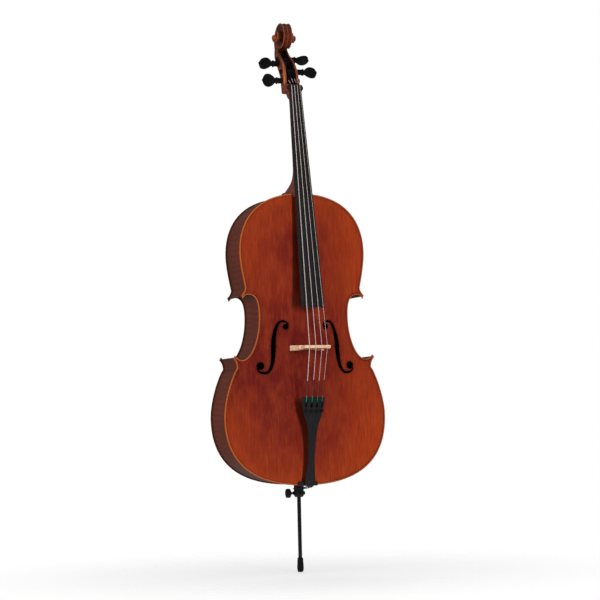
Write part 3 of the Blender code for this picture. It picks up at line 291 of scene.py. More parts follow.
def bare_wood_material():
    wood = Surface("bare_wood")
    fine = wood.noise((500, 500, 16), detail=4.0, roughness=0.6)
    broad = wood.noise((30, 30, 4))
    colour = wood.stain((0.56, 0.38, 0.20), (0.36, 0.21, 0.10), fine,
                        start=0.4, end=0.7, amount=0.8)
    colour = wood.stain(colour, (0.45, 0.28, 0.14), broad, start=0.4, end=0.7, amount=0.4)
    wood.set({"Base Color": colour, "Roughness": 0.7})
    wood.bump(fine, strength=0.3, distance=0.0002)
    return wood.material


def purfling_material():
    wood = Surface("purfling")
    speckle = wood.noise((300, 300, 300), roughness=0.6)
    wood.set({"Base Color": wood.mix(speckle, (0.020, 0.008, 0.005), (0.05, 0.014, 0.008))})
    wood.varnish(roughness=0.4, coat=0.5, coat_roughness=0.2)
    return wood.material


def metal_material(name, colour, roughness, scale, spread=0.12, metallic=1.0):
    """Spread is how much the noise adds to the roughness."""
    metal = Surface(name)
    speckle = metal.noise(scale, detail=4.0, roughness=0.6)
    shaded = tuple(v * 0.72 for v in colour)
    metal.set({"Base Color": metal.stain(colour, shaded, speckle, start=0.35, end=0.7, amount=1.0),
               "Metallic": metallic,
               "Roughness": metal.calc("MULTIPLY_ADD", speckle, spread, roughness)})
    metal.bump(speckle, strength=0.1, distance=0.00005)
    return metal.material


def wound_material(name, colour, turns, roughness, metallic=0.0):
    """Winding or silk wrap: turns per metre across the string, read from 'along' in metres."""
    wrap = Surface(name)
    wave = wrap.waves(wrap.attribute("along"), turns)
    speckle = wrap.noise((600, 600, 200), roughness=0.6)
    factor = wrap.calc("MULTIPLY_ADD", wave, 0.25, speckle)
    shaded = tuple(v * 0.7 for v in colour)
    wrap.set({"Base Color": wrap.stain(shaded, colour, factor, start=0.2, end=0.8, amount=1.0),
              "Metallic": metallic, "Roughness": roughness})
    wrap.bump(wave, strength=0.3, distance=0.0001)
    return wrap.material


def rubber_material():
    rubber = Surface("rubber")
    speckle = rubber.noise((700, 700, 700), detail=4.0, roughness=0.7)
    rubber.set({"Base Color": rubber.mix(speckle, (0.0035, 0.0035, 0.0038),
                                         (0.010, 0.0098, 0.0098)),
                "Roughness": 0.6, "Specular IOR Level": 0.2})
    rubber.bump(speckle, strength=0.35, distance=0.0002)
    return rubber.material


def cord_material():
    cord = Surface("tail_cord")
    wave = cord.waves(cord.attribute("along"), 700)
    factor = cord.calc("MULTIPLY_ADD", wave, 0.5, 0.5)
    cord.set({"Base Color": cord.mix(factor, (0.008, 0.008, 0.009), (0.03, 0.03, 0.032)),
              "Roughness": 0.55})
    cord.bump(wave, strength=0.5, distance=0.0002)
    return cord.material


# A finish is a material paired with the name of a material slot in the frame.
Finish = namedtuple("Finish", "material slot")
SPRUCE = Finish(spruce_material(), "varnished_spruce")
BACK_MAPLE = Finish(maple_material(
    "varnished_maple_back", "Z", base=(0.16, 0.026, 0.011), bright=(0.34, 0.075, 0.022),
    spacing=58.0, strength=0.65), "varnished_maple")
RIB_MAPLE = Finish(maple_material(
    "varnished_maple_rib", "along", base=(0.155, 0.024, 0.0075), bright=(0.300, 0.056, 0.016),
    dark=(0.060, 0.009, 0.004), spacing=70.0, grain=(60, 500, 60), strength=0.42,
    edge=(0.20, 0.07, 0.03)), "varnished_maple")
NECK_MAPLE = Finish(maple_material(
    "varnished_maple_neck", "Z", base=(0.225, 0.044, 0.018), bright=(0.42, 0.105, 0.038),
    spacing=85.0, strength=0.6, edge=(0.62, 0.20, 0.055)), "varnished_maple")
SCROLL_MAPLE = Finish(maple_material(
    "varnished_maple_scroll", "Z", base=(0.125, 0.016, 0.006), bright=(0.24, 0.036, 0.011),
    spacing=85.0, strength=0.6, edge=(0.46, 0.16, 0.075)), "varnished_maple")
# lighter maple for the bass-side scroll eye: a painted highlight
EYE_HIGHLIGHT_MAPLE = Finish(maple_material(
    "varnished_maple_eye_highlight", "Z", base=(0.44, 0.105, 0.020), bright=(0.60, 0.17, 0.035),
    spacing=85.0, strength=0.4, edge=(0.62, 0.20, 0.055)), "varnished_maple")
EBONY = Finish(ebony_material(
    "ebony", grain=(260, 260, 12), roughness=0.34, tone=(0.0130, 0.0125, 0.0135),
    brown=(0.034, 0.028, 0.026), shine=0.5), "ebony")
PEG_EBONY = Finish(ebony_material(
    "ebony_turned", grain=(30, 400, 400), roughness=0.26, tone=(0.0035, 0.0033, 0.0035),
    brown=(0.012, 0.009, 0.008), shine=0.35), "ebony")
BRIDGE_MAPLE = Finish(bridge_maple_material(), "bridge_maple")
BARE_WOOD = Finish(bare_wood_material(), "bare_wood")
PURFLING = Finish(purfling_material(), "purfling")
STRING_STEEL = Finish(wound_material(
    "string_steel", (0.95, 0.80, 0.74), turns=1800.0, roughness=0.35, metallic=0.25),
    "string_steel")
# the near-black wrap on the strings inside the pegbox is painted shade of the pegbox
SILK_GREEN, SILK_DARK, SILK_VIOLET, PEGBOX_SHADE_WRAP = (
    Finish(wound_material(name, colour, turns=1500.0, roughness=roughness), "string_steel")
    for name, colour, roughness in (("silk_green", (0.01, 0.26, 0.20), 0.55),
                                    ("silk_dark_green", (0.060, 0.062, 0.048), 0.6),
                                    ("silk_violet", (0.035, 0.035, 0.13), 0.55),
                                    ("silk_black", (0.012, 0.010, 0.018), 0.6)))
BLACK_ROD = Finish(metal_material(
    "black_rod", (0.006, 0.0045, 0.0045), roughness=0.32, scale=(300, 300, 20), metallic=0.0),
    "black_metal")
STEEL = Finish(metal_material(
    "steel", (0.55, 0.55, 0.56), roughness=0.2, scale=(300, 300, 20)), "steel")
BLACK_METAL = Finish(metal_material(
    "black_metal", (0.030, 0.031, 0.034), roughness=0.3, scale=(900, 900, 900), spread=0.15,
    metallic=0.7), "black_metal")
RUBBER = Finish(rubber_material(), "rubber")
CORD = Finish(cord_material(), "cord")


# ------------------------------------------------------------------ mesh making
def shade(mesh, sharp):
    """Smooth shading, with edges over the sharp angle kept crisp; 0 keeps none."""
    mesh.shade_smooth()
    if sharp:
        mesh.set_sharp_from_angle(angle=math.radians(sharp))


def put(name, verts, faces, finish, body=ROOT, replaces=None, sharp=38, attrs=None, merge=0.0):
    """Make an object from body millimetres.

    A piece called x_fine stands in for the frame's x unless replaces says otherwise.
    With body None it is only a cutting tool, and the frame isn't told about it.
    """
    mesh = bpy.data.meshes.new(name)
    mesh.from_pydata([world(v) for v in verts], [], [tuple(int(i) for i in f) for f in faces])
    for key, values in (attrs or {}).items():
        attribute = mesh.attributes.new(key, "FLOAT", "POINT")
        attribute.data.foreach_set("value", np.asarray(values, np.float32))
    bm = bmesh.new()
    bm.from_mesh(mesh)
    if merge:
        bmesh.ops.remove_doubles(bm, verts=bm.verts, dist=merge / 1000)
    bmesh.ops.recalc_face_normals(bm, faces=bm.faces)
    bm.to_mesh(mesh)
    bm.free()
    shade(mesh, sharp)
    ob = bpy.data.objects.new(name, mesh)
    bpy.context.scene.collection.objects.link(ob)
    mesh.materials.append(finish.material)
    if body:
        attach(ob, body)
        if replaces is None and name.endswith("_fine"):
            replaces = name.removesuffix("_fine")
        if replaces:
            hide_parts(replaces)
    return ob


def dress(ob, finish):
    """Give a piece of the frame one of the materials."""
    ob.data.materials.clear()
    ob.data.materials.append(finish.material)


def apply_modifiers(ob, sharp=38):
    bpy.context.view_layer.update()
    graph = bpy.context.evaluated_depsgraph_get()
    mesh = bpy.data.meshes.new_from_object(ob.evaluated_get(graph))
    old = ob.data
    ob.modifiers.clear()
    ob.data = mesh
    mesh.name = old.name
    shade(mesh, sharp)


def cut(ob, tools, sharp):
    for tool in tools:
        modifier = ob.modifiers.new("cut", "BOOLEAN")
        modifier.operation = "DIFFERENCE"
        modifier.solver = "EXACT"
        modifier.object = tool
    apply_modifiers(ob, sharp)
    for tool in tools:
        bpy.data.objects.remove(tool)


def bevel(ob, width, segments, angle):
    modifier = ob.modifiers.new("edge", "BEVEL")
    modifier.width = width / 1000
    modifier.segments = segments
    modifier.limit_method = "ANGLE"
    modifier.angle_limit = math.radians(angle)
    modifier.use_clamp_overlap = True
    apply_modifiers(ob)


def loft(name, rings, finish, caps=True, **options):
    """Skin over closed rings of equal count."""
    count, size = len(rings), len(rings[0])
    faces = []
    for i in range(count - 1):
        for k in range(size):
            a, b = i * size + k, i * size + (k + 1) % size
            faces.append((a, b, b + size, a + size))
    if caps:
        faces.append(tuple(range(size)))
        faces.append(tuple(range((count - 1) * size, count * size)))
    return put(name, [p for ring in rings for p in ring], faces, finish, **options)


def turned(name, profile, centre, axis, finish, steps=40, knurl=None, closed=False, **options):
    """Profile (radius, height) turned about an axis; closed joins its end back to its start.

    knurl is (low height, high height, tooth count, depth).
    """
    axis = Vector(axis).normalized()
    across = axis.orthogonal().normalized()
    other = axis.cross(across)
    centre = Vector(centre)
    if knurl:
        low, high, teeth, depth = knurl
        steps = teeth * 4
    rings = []
    for radius, height in profile:
        ring = []
        for k in range(steps):
            a = 2 * math.pi * k / steps
            r = radius
            if knurl and low <= height <= high and radius > 0:
                r = radius - depth * (0, 0.35, 1, 0.35)[k % 4]
            ring.append(centre + across * (r * math.cos(a)) + other * (r * math.sin(a))
                        + axis * height)
        rings.append(ring)
    if closed:
        rings.append(rings[0])
    return loft(name, rings, finish, caps=not closed, merge=0.001, **options)


def round_corners(points, radius, steps=4):
    """Round the corners of an open (radius, height) polyline."""
    out = [points[0]]
    for before, corner, after in zip(points, points[1:], points[2:]):
        p, a, b = Vector(corner), Vector(before), Vector(after)
        reach = min(radius, (p - a).length * 0.45, (p - b).length * 0.45)
        start, end = p + (a - p).normalized() * reach, p + (b - p).normalized() * reach
        for k in range(steps + 1):
            t = k / steps
            q = (1 - t) ** 2 * start + 2 * (1 - t) * t * p + t * t * end
            out.append((q.x, q.y))
    out.append(points[-1])
    return out


def tube(name, path, radius, finish, sides=8, **options):
    """Rings swept along a polyline; the attribute 'along' is the run in metres."""
    path = [Vector(p) for p in path]
    last = len(path) - 1
    tangents = []
    for i, p in enumerate(path):
        before = p - path[i - 1] if i else path[1] - path[0]
        after = path[i + 1] - p if i < last else before
        tangents.append((before.normalized() + after.normalized()).normalized())
    up = Vector((1, 0, 0))
    if abs(up.dot(tangents[0])) > 0.9:
        up = Vector((0, 1, 0))
    rings, along, run = [], [], 0.0
    for i, (p, tangent) in enumerate(zip(path, tangents)):
        if i:
            run += (p - path[i - 1]).length
        up = (up - tangent * up.dot(tangent)).normalized()
        side = tangent.cross(up)
        angles = [2 * math.pi * k / sides for k in range(sides)]
        rings.append([p + up * (radius * math.cos(a)) + side * (radius * math.sin(a))
                      for a in angles])
        along += [run / 1000] * sides
    return loft(name, rings, finish, attrs={"along": along}, sharp=0, **options)


# ------------------------------------------------------------------ curves and flat shapes
def hermite(xs, ys, slopes, x):
    """Cubic through points with the given slopes, read at x."""
    steps = np.diff(xs)
    i = np.clip(np.searchsorted(xs, x, side="right") - 1, 0, len(steps) - 1)
    t = (x - xs[i]) / steps[i]
    return ((2 * t ** 3 - 3 * t ** 2 + 1) * ys[i] + (t ** 3 - 2 * t ** 2 + t) * steps[i] * slopes[i]
            + (-2 * t ** 3 + 3 * t ** 2) * ys[i + 1] + (t ** 3 - t ** 2) * steps[i] * slopes[i + 1])


def read_curve(table, x, column=1):
    """Smooth curve through a table's column, without overshoot; column 0 is the position."""
    xs, ys = table[:, 0], table[:, column]
    h = np.diff(xs)
    rate = np.diff(ys) / h
    slopes = np.zeros(len(xs))
    for i in range(1, len(xs) - 1):
        if rate[i - 1] * rate[i] > 0:
            w1, w2 = 2 * h[i] + h[i - 1], h[i] + 2 * h[i - 1]
            slopes[i] = (w1 + w2) / (w1 / rate[i - 1] + w2 / rate[i])
    slopes[0], slopes[-1] = rate[0], rate[-1]
    return hermite(xs, ys, slopes, np.asarray(x, float))


def smoothstep(low, high, value):
    t = np.clip((value - low) / (high - low), 0, 1)
    return t ** 2 * (3 - 2 * t)


def sag(radius, x):
    """Fall of a circle's arc at x from its crown."""
    return radius - math.sqrt(radius * radius - x * x)


def cut_corners(points, times, sharp):
    """Round a closed polygon by repeated corner cutting; indices in sharp stay put."""
    points = [Vector(p) for p in points]
    keep = [i in sharp for i in range(len(points))]
    for _ in range(times):
        out, kept = [], []
        for i, p in enumerate(points):
            if keep[i]:
                out.append(p)
                kept.append(True)
            else:
                out += [p.lerp(points[i - 1], 0.25), p.lerp(points[(i + 1) % len(points)], 0.25)]
                kept += [False, False]
        points, keep = out, kept
    return [tuple(p) for p in points]


def bezier(knots, counts):
    """Knots are (point, handle in, handle out); a missing handle lies a third of the way."""
    points = []
    for (a, b), count in zip(zip(knots, knots[1:]), counts):
        p0, p3 = Vector(a[0]), Vector(b[0])
        p1 = Vector(a[2]) if a[2] else p0.lerp(p3, 1 / 3)
        p2 = Vector(b[1]) if b[1] else p0.lerp(p3, 2 / 3)
        for i in range(count):
            t = i / count
            points.append((1 - t) ** 3 * p0 + 3 * (1 - t) ** 2 * t * p1
                          + 3 * (1 - t) * t * t * p2 + t ** 3 * p3)
    points.append(Vector(knots[-1][0]))
    return points


def inside(polygon, points):
    """Even-odd test of many points against a closed polygon."""
    start = np.asarray(polygon, float)
    x, y = points[:, 0], points[:, 1]
    result = np.zeros(len(points), bool)
    for (x0, y0), (x1, y1) in zip(start, np.roll(start, -1, 0)):
        if y0 == y1:
            continue
        spans = (y0 > y) != (y1 > y)
        result ^= spans & (x < (x1 - x0) * (y - y0) / (y1 - y0) + x0)
    return result


def distance(polygon, points):
    """Distance of many points from a closed polygon's edges."""
    start = np.asarray(polygon, float)
    edge = np.roll(start, -1, 0) - start
    square = (edge ** 2).sum(1)
    square[square == 0] = 1e-12
    out = np.full(len(points), 1e9)
    for i in range(0, len(points), 500):    # in batches, to spare memory
        p = points[i:i + 500, None, :]
        t = np.clip(((p - start) * edge).sum(2) / square, 0, 1)
        nearest = start + t[..., None] * edge
        out[i:i + 500] = np.sqrt(((p - nearest) ** 2).sum(2)).min(1)
    return out


def triangulate(outline, holes=(), free=()):
    """Triangles inside the outline and outside the holes, using the free points too."""
    verts, edges = [], []
    loops = [(outline, True), (free, False)] + [(hole, True) for hole in holes]
    for loop, closed in loops:
        start = len(verts)
        verts += [Vector(p) for p in loop]
        if closed:
            edges += [(start + i, start + (i + 1) % len(loop)) for i in range(len(loop))]
    found, _, faces, *_ = delaunay_2d_cdt(verts, edges, [], 0, 1e-5)
    points = np.array([(v.x, v.y) for v in found])
    triangles = np.array([f for f in faces if len(f) == 3])
    middles = points[triangles].mean(1)
    keep = inside(outline, middles)
    for hole in holes:
        keep &= ~inside(hole, middles)
    return points, triangles[keep]


def facing_front(x, z, depth):
    return (x, depth, z)


def prism(name, points, triangles, near, far, finish, place=facing_front, attrs=None, **options):
    """Two sheets of triangles at each point's near and far depth, joined round their borders."""
    used = np.unique(triangles)
    remap = -np.ones(len(points), int)
    remap[used] = np.arange(len(used))
    points, triangles = points[used], remap[triangles]
    n = len(points)
    verts = [place(p[0], p[1], depth) for depths in (near, far)
             for p, depth in zip(points, depths[used])]
    faces = list(triangles) + [(a + n, c + n, b + n) for a, b, c in triangles]
    edges = dict.fromkeys(edge for a, b, c in triangles for edge in ((a, b), (b, c), (c, a)))
    for a, b in edges:
        if (b, a) not in edges:
            faces.append((a, a + n, b + n, b))
    attrs = {key: np.tile(values[used], 2) for key, values in (attrs or {}).items()}
    return put(name, verts, faces, finish, attrs=attrs, **options)


def flat_solid(name, outline, near, far, finish, holes=(), place=facing_front):
    points, triangles = triangulate(outline, holes)
    return prism(name, points, triangles, np.full(len(points), near), np.full(len(points), far),
                 finish, place)


# ------------------------------------------------------------------ body outline
# One half in (x, z), bottom to top, as (point, handle in, handle out).
LOWER = [((0, 0), None, (146, 0)),
         ((219.8, 177), (219.8, 60.5), (219.8, 228.6)),
         ((183.6, 303), (191.5, 297), (183.4, 318)),
         ((193.7, 329), (189.5, 325), None)]
WAIST = [((188, 336.5), None, (184, 330.5)),
         ((169, 324.6), (177, 324.6), (145, 324.6)),
         ((121.8, 437), (121.8, 377.5), (121.8, 464)),
         ((149, 491.8), (124.5, 491.8), (156.5, 491.8)),
         ((164, 480.4), (161, 487), None)]
UPPER = [((168.3, 490.2), None, (162.5, 496)),
         ((157.2, 511), (157.2, 503), (161.3, 530)),
         ((170.6, 602), (170.6, 571), (170.6, 688)),
         ((0, BODY_LENGTH), (119.6, BODY_LENGTH), None)]
FINE = 2
lower = bezier(LOWER, (44 * FINE, 18 * FINE, 7 * FINE))
waist = bezier(WAIST, (6 * FINE, 20 * FINE, 16 * FINE, 6 * FINE))
upper = bezier(UPPER, (7 * FINE, 16 * FINE, 40 * FINE))
LOW_TIP = (lower[-1], waist[0])
UP_TIP = (waist[-1], upper[0])


def inset(points, offset):
    """Open polyline moved to its left."""
    steps = [(b - a).normalized() for a, b in zip(points, points[1:])]
    out = []
    for i, p in enumerate(points):
        a, b = steps[max(i - 1, 0)], steps[min(i, len(steps) - 1)]
        na, nb = Vector((-a.y, a.x)), Vector((-b.y, b.x))
        mitre = (na + nb).normalized()
        out.append(p + mitre * (offset / max(0.4, mitre.dot(na))))
    return out


def crossing(first, second):
    """Last place on first, earliest on second, where they cross: indices and point, or None."""
    for i in range(len(first) - 1, 0, -1):
        for j in range(len(second) - 1):
            a, b, c, e = first[i - 1], first[i], second[j], second[j + 1]
            if max(a.x, b.x) < min(c.x, e.x) or max(c.x, e.x) < min(a.x, b.x):
                continue
            if max(a.y, b.y) < min(c.y, e.y) or max(c.y, e.y) < min(a.y, b.y):
                continue
            r, s = b - a, e - c
            turn = r.x * s.y - r.y * s.x
            if abs(turn) < 1e-12:
                continue
            t = ((c.x - a.x) * s.y - (c.y - a.y) * s.x) / turn
            u = ((c.x - a.x) * r.y - (c.y - a.y) * r.x) / turn
            if -1e-9 <= t <= 1 + 1e-9 and -1e-9 <= u <= 1 + 1e-9:
                return i, j, a + r * t
    return None


def join(first, second):
    """Cut both runs where they cross."""
    hit = crossing(first, second)
    if hit is None:
        return first, second
    i, j, point = hit
    return first[:i] + [point], second[j + 1:]


def clip_end(points, tip, margin):
    """Stop a run a margin short of the line across a corner's tip."""
    a, b = tip
    d = (b - a).normalized()
    normal = Vector((-d.y, d.x))
    if normal.x > 0:
        normal = -normal
    gap = [(p - a).dot(normal) for p in points]
    last = max(i for i in range(len(points)) if gap[i] > margin)
    out = points[:last + 1]
    if last + 1 < len(points):
        t = (gap[last] - margin) / (gap[last] - gap[last + 1])
        out.append(points[last].lerp(points[last + 1], t))
    return out


def clip_start(points, tip, margin):
    return clip_end(points[::-1], tip, margin)[::-1]


def half_loop(offset):
    """Treble half of the outline, moved inward."""
    if offset == 0:
        return lower + waist + upper
    low = clip_end(inset(lower, offset), LOW_TIP, offset)
    middle = clip_end(clip_start(inset(waist, offset), LOW_TIP, offset), UP_TIP, offset)
    high = clip_start(inset(upper, offset), UP_TIP, offset)
    low, middle = join(low, middle)
    middle, high = join(middle, high)
    low[0].x = 0.0
    high[-1].x = 0.0
    return low + middle + high


def mirrored(half):
    return [(-x, z) for x, z in reversed(half) if abs(x) > 1e-6]


def full_loop(offset):
    half = [(p.x, p.y) for p in half_loop(offset)]
    return half + mirrored(half)


# ------------------------------------------------------------------ arching
# (z, half width) of the outline with the corners smoothed away
WIDTH_KNOTS = np.array([
    (0, 0), (12, 98), (40, 157), (90, 200), (177, 219.8), (250, 205), (320, 165), (380, 132),
    (437, 121.8), (490, 132), (545, 160), (602, 170.6), (665, 159), (715, 124), (745, 70),
    (755.4, 0)])
_before = np.concatenate([WIDTH_KNOTS[:1], WIDTH_KNOTS[:-1]])
_after = np.concatenate([WIDTH_KNOTS[1:], WIDTH_KNOTS[-1:]])
_run, _rise = (_after - _before).T
WIDTH_Z = np.linspace(0, BODY_LENGTH, 1500)
WIDTHS = hermite(WIDTH_KNOTS[:, 0], WIDTH_KNOTS[:, 1], _rise / _run, WIDTH_Z)


def arch(x, z, height):
    """Rise of a plate's arching over its edge."""
    x, z = np.asarray(x, float), np.asarray(z, float)
    width = np.interp(z, WIDTH_Z, WIDTHS) - ARCH_MARGIN
    end = np.abs(z - BODY_LENGTH / 2) / (BODY_LENGTH / 2 - 9)
    raised = (width > 0) & (end < 1) & (np.abs(x) < width)
    side = np.abs(x) / np.where(width > 0, width, 1)
    along = (0.5 * (1 + np.cos(np.pi * np.clip(end, 0, 1)))) ** 0.4
    across = (0.5 * (1 + np.cos(np.pi * np.clip(side, 0, 1)))) ** 0.75
    return np.where(raised, height * along * across, 0.0)


# ------------------------------------------------------------------ plates
# Centreline of a sound hole, its half width at each knot, steps between knots, and its end
# circles as (centre, radius).
HOLE_PATH = [((47.5, 411.5), None, (48.5, 420)),
             ((64.5, 422.5), (55.5, 423.5), (77, 421.5)),
             ((86.8, 358), (85.6, 389), (88, 327)),
             ((110, 290.2), (91, 292), (121, 289)),
             ((130.3, 303), (130, 294), None)]
HOLE_WIDTHS = [1.6, 3.0, 6.4, 3.4, 1.8]
HOLE_STEPS = (10, 18, 18, 10)
HOLE_EYES = [((54.2, 408.4), 7.7), ((122.0, 308.5), 10.0)]
# Rows of mesh points that follow the plate's edge: (distance in, keep every nth)
EDGE_ROWS = ((0.25, 1), (0.7, 1), (1.4, 1), (2.3, 1), (3.3, 2), (4.15, 2), (5.6, 2), (7.5, 2),
             (9.5, 2), (12, 3), (16, 3))


def hole_loops(side):
    """Overlapping loops of one sound hole: stem, two eyes and two nicks at mid stem."""
    line = bezier(HOLE_PATH, HOLE_STEPS)
    widths = []
    for (a, b), count in zip(zip(HOLE_WIDTHS, HOLE_WIDTHS[1:]), HOLE_STEPS):
        widths += [a + (b - a) * (3 * (i / count) ** 2 - 2 * (i / count) ** 3)
                   for i in range(count)]
    widths.append(HOLE_WIDTHS[-1])
    left, right = [], []
    for i, p in enumerate(line):
        t = (line[min(i + 1, len(line) - 1)] - line[max(i - 1, 0)]).normalized()
        normal = Vector((-t.y, t.x))
        left.append(p + normal * widths[i])
        right.append(p - normal * widths[i])
    loops = [[(side * p.x, p.y) for p in left + right[::-1]]]
    for (x, z), r in HOLE_EYES:
        angles = [2 * math.pi * k / 36 for k in range(36)]
        loops.append([(side * (x + r * math.cos(a)), z + r * math.sin(a)) for a in angles])
    middle = len(line) // 2
    centre = line[middle]
    t = (line[middle + 1] - line[middle - 1]).normalized()
    for sign in (-1, 1):
        normal = Vector((-t.y, t.x)) * sign
        nick = [centre + normal * 4.5 - t * 2.2, centre + normal * 9.0,
                centre + normal * 4.5 + t * 2.2]
        loops.append([(side * p.x, p.y) for p in nick])
    return loops


def plate_points(outline, holes):
    """Mesh points inside a plate: rows along its edge, then a staggered grid."""
    along = np.roll(outline, -1, 0) - np.roll(outline, 1, 0)
    along /= np.linalg.norm(along, axis=1)[:, None]
    inward = np.stack([-along[:, 1], along[:, 0]], 1)
    groups = []
    for depth, stride in EDGE_ROWS:
        row = (outline + inward * depth)[::stride]
        gap = distance(outline, row)
        groups.append(row[(np.abs(gap - depth) < 0.12 * depth) & inside(outline, row)])
    pitch = 6.5
    xs, zs = np.arange(-226, 226, pitch), np.arange(-4, 780, pitch * 0.866)
    grid = np.array([(x + (pitch / 2 if j % 2 else 0), z) for j, z in enumerate(zs) for x in xs])
    grid = grid[inside(outline, grid)]
    groups.append(grid[distance(outline, grid) > 18.5])
    points = np.concatenate(groups)
    for hole in holes:
        points = points[~inside(hole, points)]
        points = points[distance(hole, points) > 1.0]
    # keep the first point in each small cell, to thin out crowding near the corners
    cell, kept = 0.45, {}
    for p in points:
        kept.setdefault((int(p[0] // cell), int(p[1] // cell)), p)
    return list(kept.values())


def carved_plate(name, outline, side, height, holes, finish):
    """Arched plate; side is -1 for the front and 1 for the back."""
    outline = np.array(outline)
    points, triangles = triangulate(outline, holes, plate_points(outline, holes))
    edge = distance(outline, points)
    edge[edge < 1e-4] = 0
    half = EDGE_THICK / 2
    rounding = np.sqrt(np.maximum(0, half ** 2 - (half - np.minimum(edge, half)) ** 2))
    # a shallow channel runs round inside the edge
    channel_start, channel_end = 5.5, 16
    channel_run = (edge - channel_start) / (channel_end - channel_start)
    channel = np.where((edge > channel_start) & (edge < channel_end),
                       -np.sin(np.pi * np.clip(channel_run, 0, 1)) ** 1.3, 0.0)
    rise = arch(points[:, 0], points[:, 1], height)
    outer = PLATE_SEAT + half + rounding + rise + channel
    inner = PLATE_SEAT + half - rounding + rise
    worn = (1 - smoothstep(1.9, 3.5, edge)) * smoothstep(-0.3, 0.9, edge)
    if side < 0:
        to_hole = np.full(len(points), 1e9)
        for hole in holes:
            to_hole = np.minimum(to_hole, distance(hole, points))
        x = points[:, 0]
        # lighter edge band: partly wear, partly a painted highlight that fades toward the treble
        # side
        rim = worn * (0.86 - 0.42 * smoothstep(30, 150, x))
        # painted shade round the sound holes, and just inside the edge on the treble side
        hole_shade = 0.5 * (1 - smoothstep(0.0, 1.2, to_hole))
        edge_shade = (0.42 * smoothstep(2.4, 3.6, edge) * (1 - smoothstep(4.0, 11.0, edge))
                      * smoothstep(20, 130, x))
        dark = np.maximum(hole_shade, edge_shade)
    else:
        rim = 0.22 * worn * smoothstep(1.0, 3.0, edge)
        # painted shade along the back's edge
        dark = 0.80 * (1 - smoothstep(0.8, 2.6, edge))
    prism(name, points, triangles, side * outer, side * inner, finish, merge=0.0005,
          attrs={"inset": np.clip(edge / 110.0, 0, 1), "rim": rim, "dark": dark})


def plates():
    carved_plate("front_plate_fine", full_loop(0), -1, ARCH_FRONT, hole_loops(-1) + hole_loops(1),
                 SPRUCE)
    # the back carries a round button above its top edge
    button = [(14.5 * math.cos(math.pi * i / 24), 757 + 15 * math.sin(math.pi * i / 24))
              for i in range(25)]
    half = [(p.x, p.y) for p in half_loop(0)[:-1] if not (p.x < 16.5 and p.y > 700)]
    loop = half + [(15.4, 755.2)] + button + [(-15.4, 755.2)] + mirrored(half)
    carved_plate("back_plate_fine", loop, 1, ARCH_BACK, [], BACK_MAPLE)


# ------------------------------------------------------------------ purfling
PURFLING_OUTER, PURFLING_INNER = 4.3, 5.5    # distances in from the plate's edge
PURFLING_TOP, PURFLING_DEPTH = PLATE_FACE + 0.06, PLATE_FACE - 1.2


def inlay(name, outline, side, holes=()):
    flat_solid(name, outline, side * PURFLING_TOP, side * PURFLING_DEPTH, PURFLING, holes)


def clip_x(points, bottom_x, top_x):
    """Trim a half outline where it nears the middle, at the bottom and at the top."""
    out = list(points)
    while out[1].x < bottom_x:
        out.pop(0)
    a, b = out[0], out[1]
    out[0] = a.lerp(b, (bottom_x - a.x) / (b.x - a.x))
    while out[-2].x < top_x:
        out.pop()
    a, b = out[-1], out[-2]
    out[-1] = a.lerp(b, (top_x - a.x) / (b.x - a.x))
    return out


def purfling():
    inlay("purfling_back_fine", full_loop(PURFLING_OUTER), 1, [full_loop(PURFLING_INNER)])
    # the front's stops at the saddle and at the neck
    outer, inner = (clip_x(half_loop(offset), 27.7, 24.6)
                    for offset in (PURFLING_OUTER, PURFLING_INNER))
    for side, tag in SIDES:
        band = [(side * p.x, p.y) for p in outer + inner[::-1]]
        inlay("purfling_front_%s_fine" % tag, band, -1)


# ------------------------------------------------------------------ ribs and corner blocks
RIB_END_Y = 58.5
RIB_Y = (-RIB_END_Y, -56, -50, -30, -10, 10, 30, 50, 56, RIB_END_Y)


def rib(name, outer, side):
    """Bent strip between the plates; 'dark' shades its edges."""
    inner = inset(outer, RIB_THICK)
    size = 2 * len(RIB_Y)
    rings, along, run = [], [], 0.0
    for i, (p, q) in enumerate(zip(outer, inner)):
        if i:
            run += (p - outer[i - 1]).length
        rings.append([(side * p.x, y, p.y) for y in RIB_Y]
                     + [(side * q.x, y, q.y) for y in reversed(RIB_Y)])
        along += [run / 1000] * size
    # painted shade along both long edges, under the plates' overhang
    edge = [max(0.0, 1 - (RIB_END_Y - abs(y)) / 5) * 0.8 for y in RIB_Y]
    loft(name, rings, RIB_MAPLE, attrs={"along": along, "dark": (edge + edge[::-1]) * len(outer)})


def ribs():
    low = clip_end(inset(lower, OVERHANG), LOW_TIP, 3.0)
    low[0] = Vector((0.02, low[0].y))    # just clear of the other side's rib
    middle = clip_end(clip_start(inset(waist, OVERHANG), LOW_TIP, 3.2), UP_TIP, 3.4)
    high = [p for p in clip_start(inset(upper, OVERHANG), UP_TIP, 3.0) if p.x > 10]
    for side, tag in SIDES:
        for part, run in (("lower", low), ("waist", middle), ("upper", high)):
            rib("rib_%s_%s_fine" % (part, tag), run, side)


def corner_block(name, first, second, tip, side, reach):
    """Solid filling the corner between two ribs, out to reach from the tip."""
    margin, width = OVERHANG + RIB_THICK + 0.4, 9
    middle = (tip[0] + tip[1]) / 2

    def near(points):
        return [i for i, p in enumerate(points) if (p - middle).length < reach]

    first_face, second_face = inset(first, margin), inset(second, margin)
    a, b = join(clip_end(first_face, tip, 3.0), clip_start(second_face, tip, 3.0))
    loop = [a[i] for i in near(a)] + [b[i] for i in near(b)]
    loop += [inset(second, margin + width)[near(second_face)[-1]],
             inset(first, margin + width)[near(first_face)[0]]]
    flat_solid(name, [(side * p.x, p.y) for p in loop], -57.7, 57.7, BARE_WOOD)


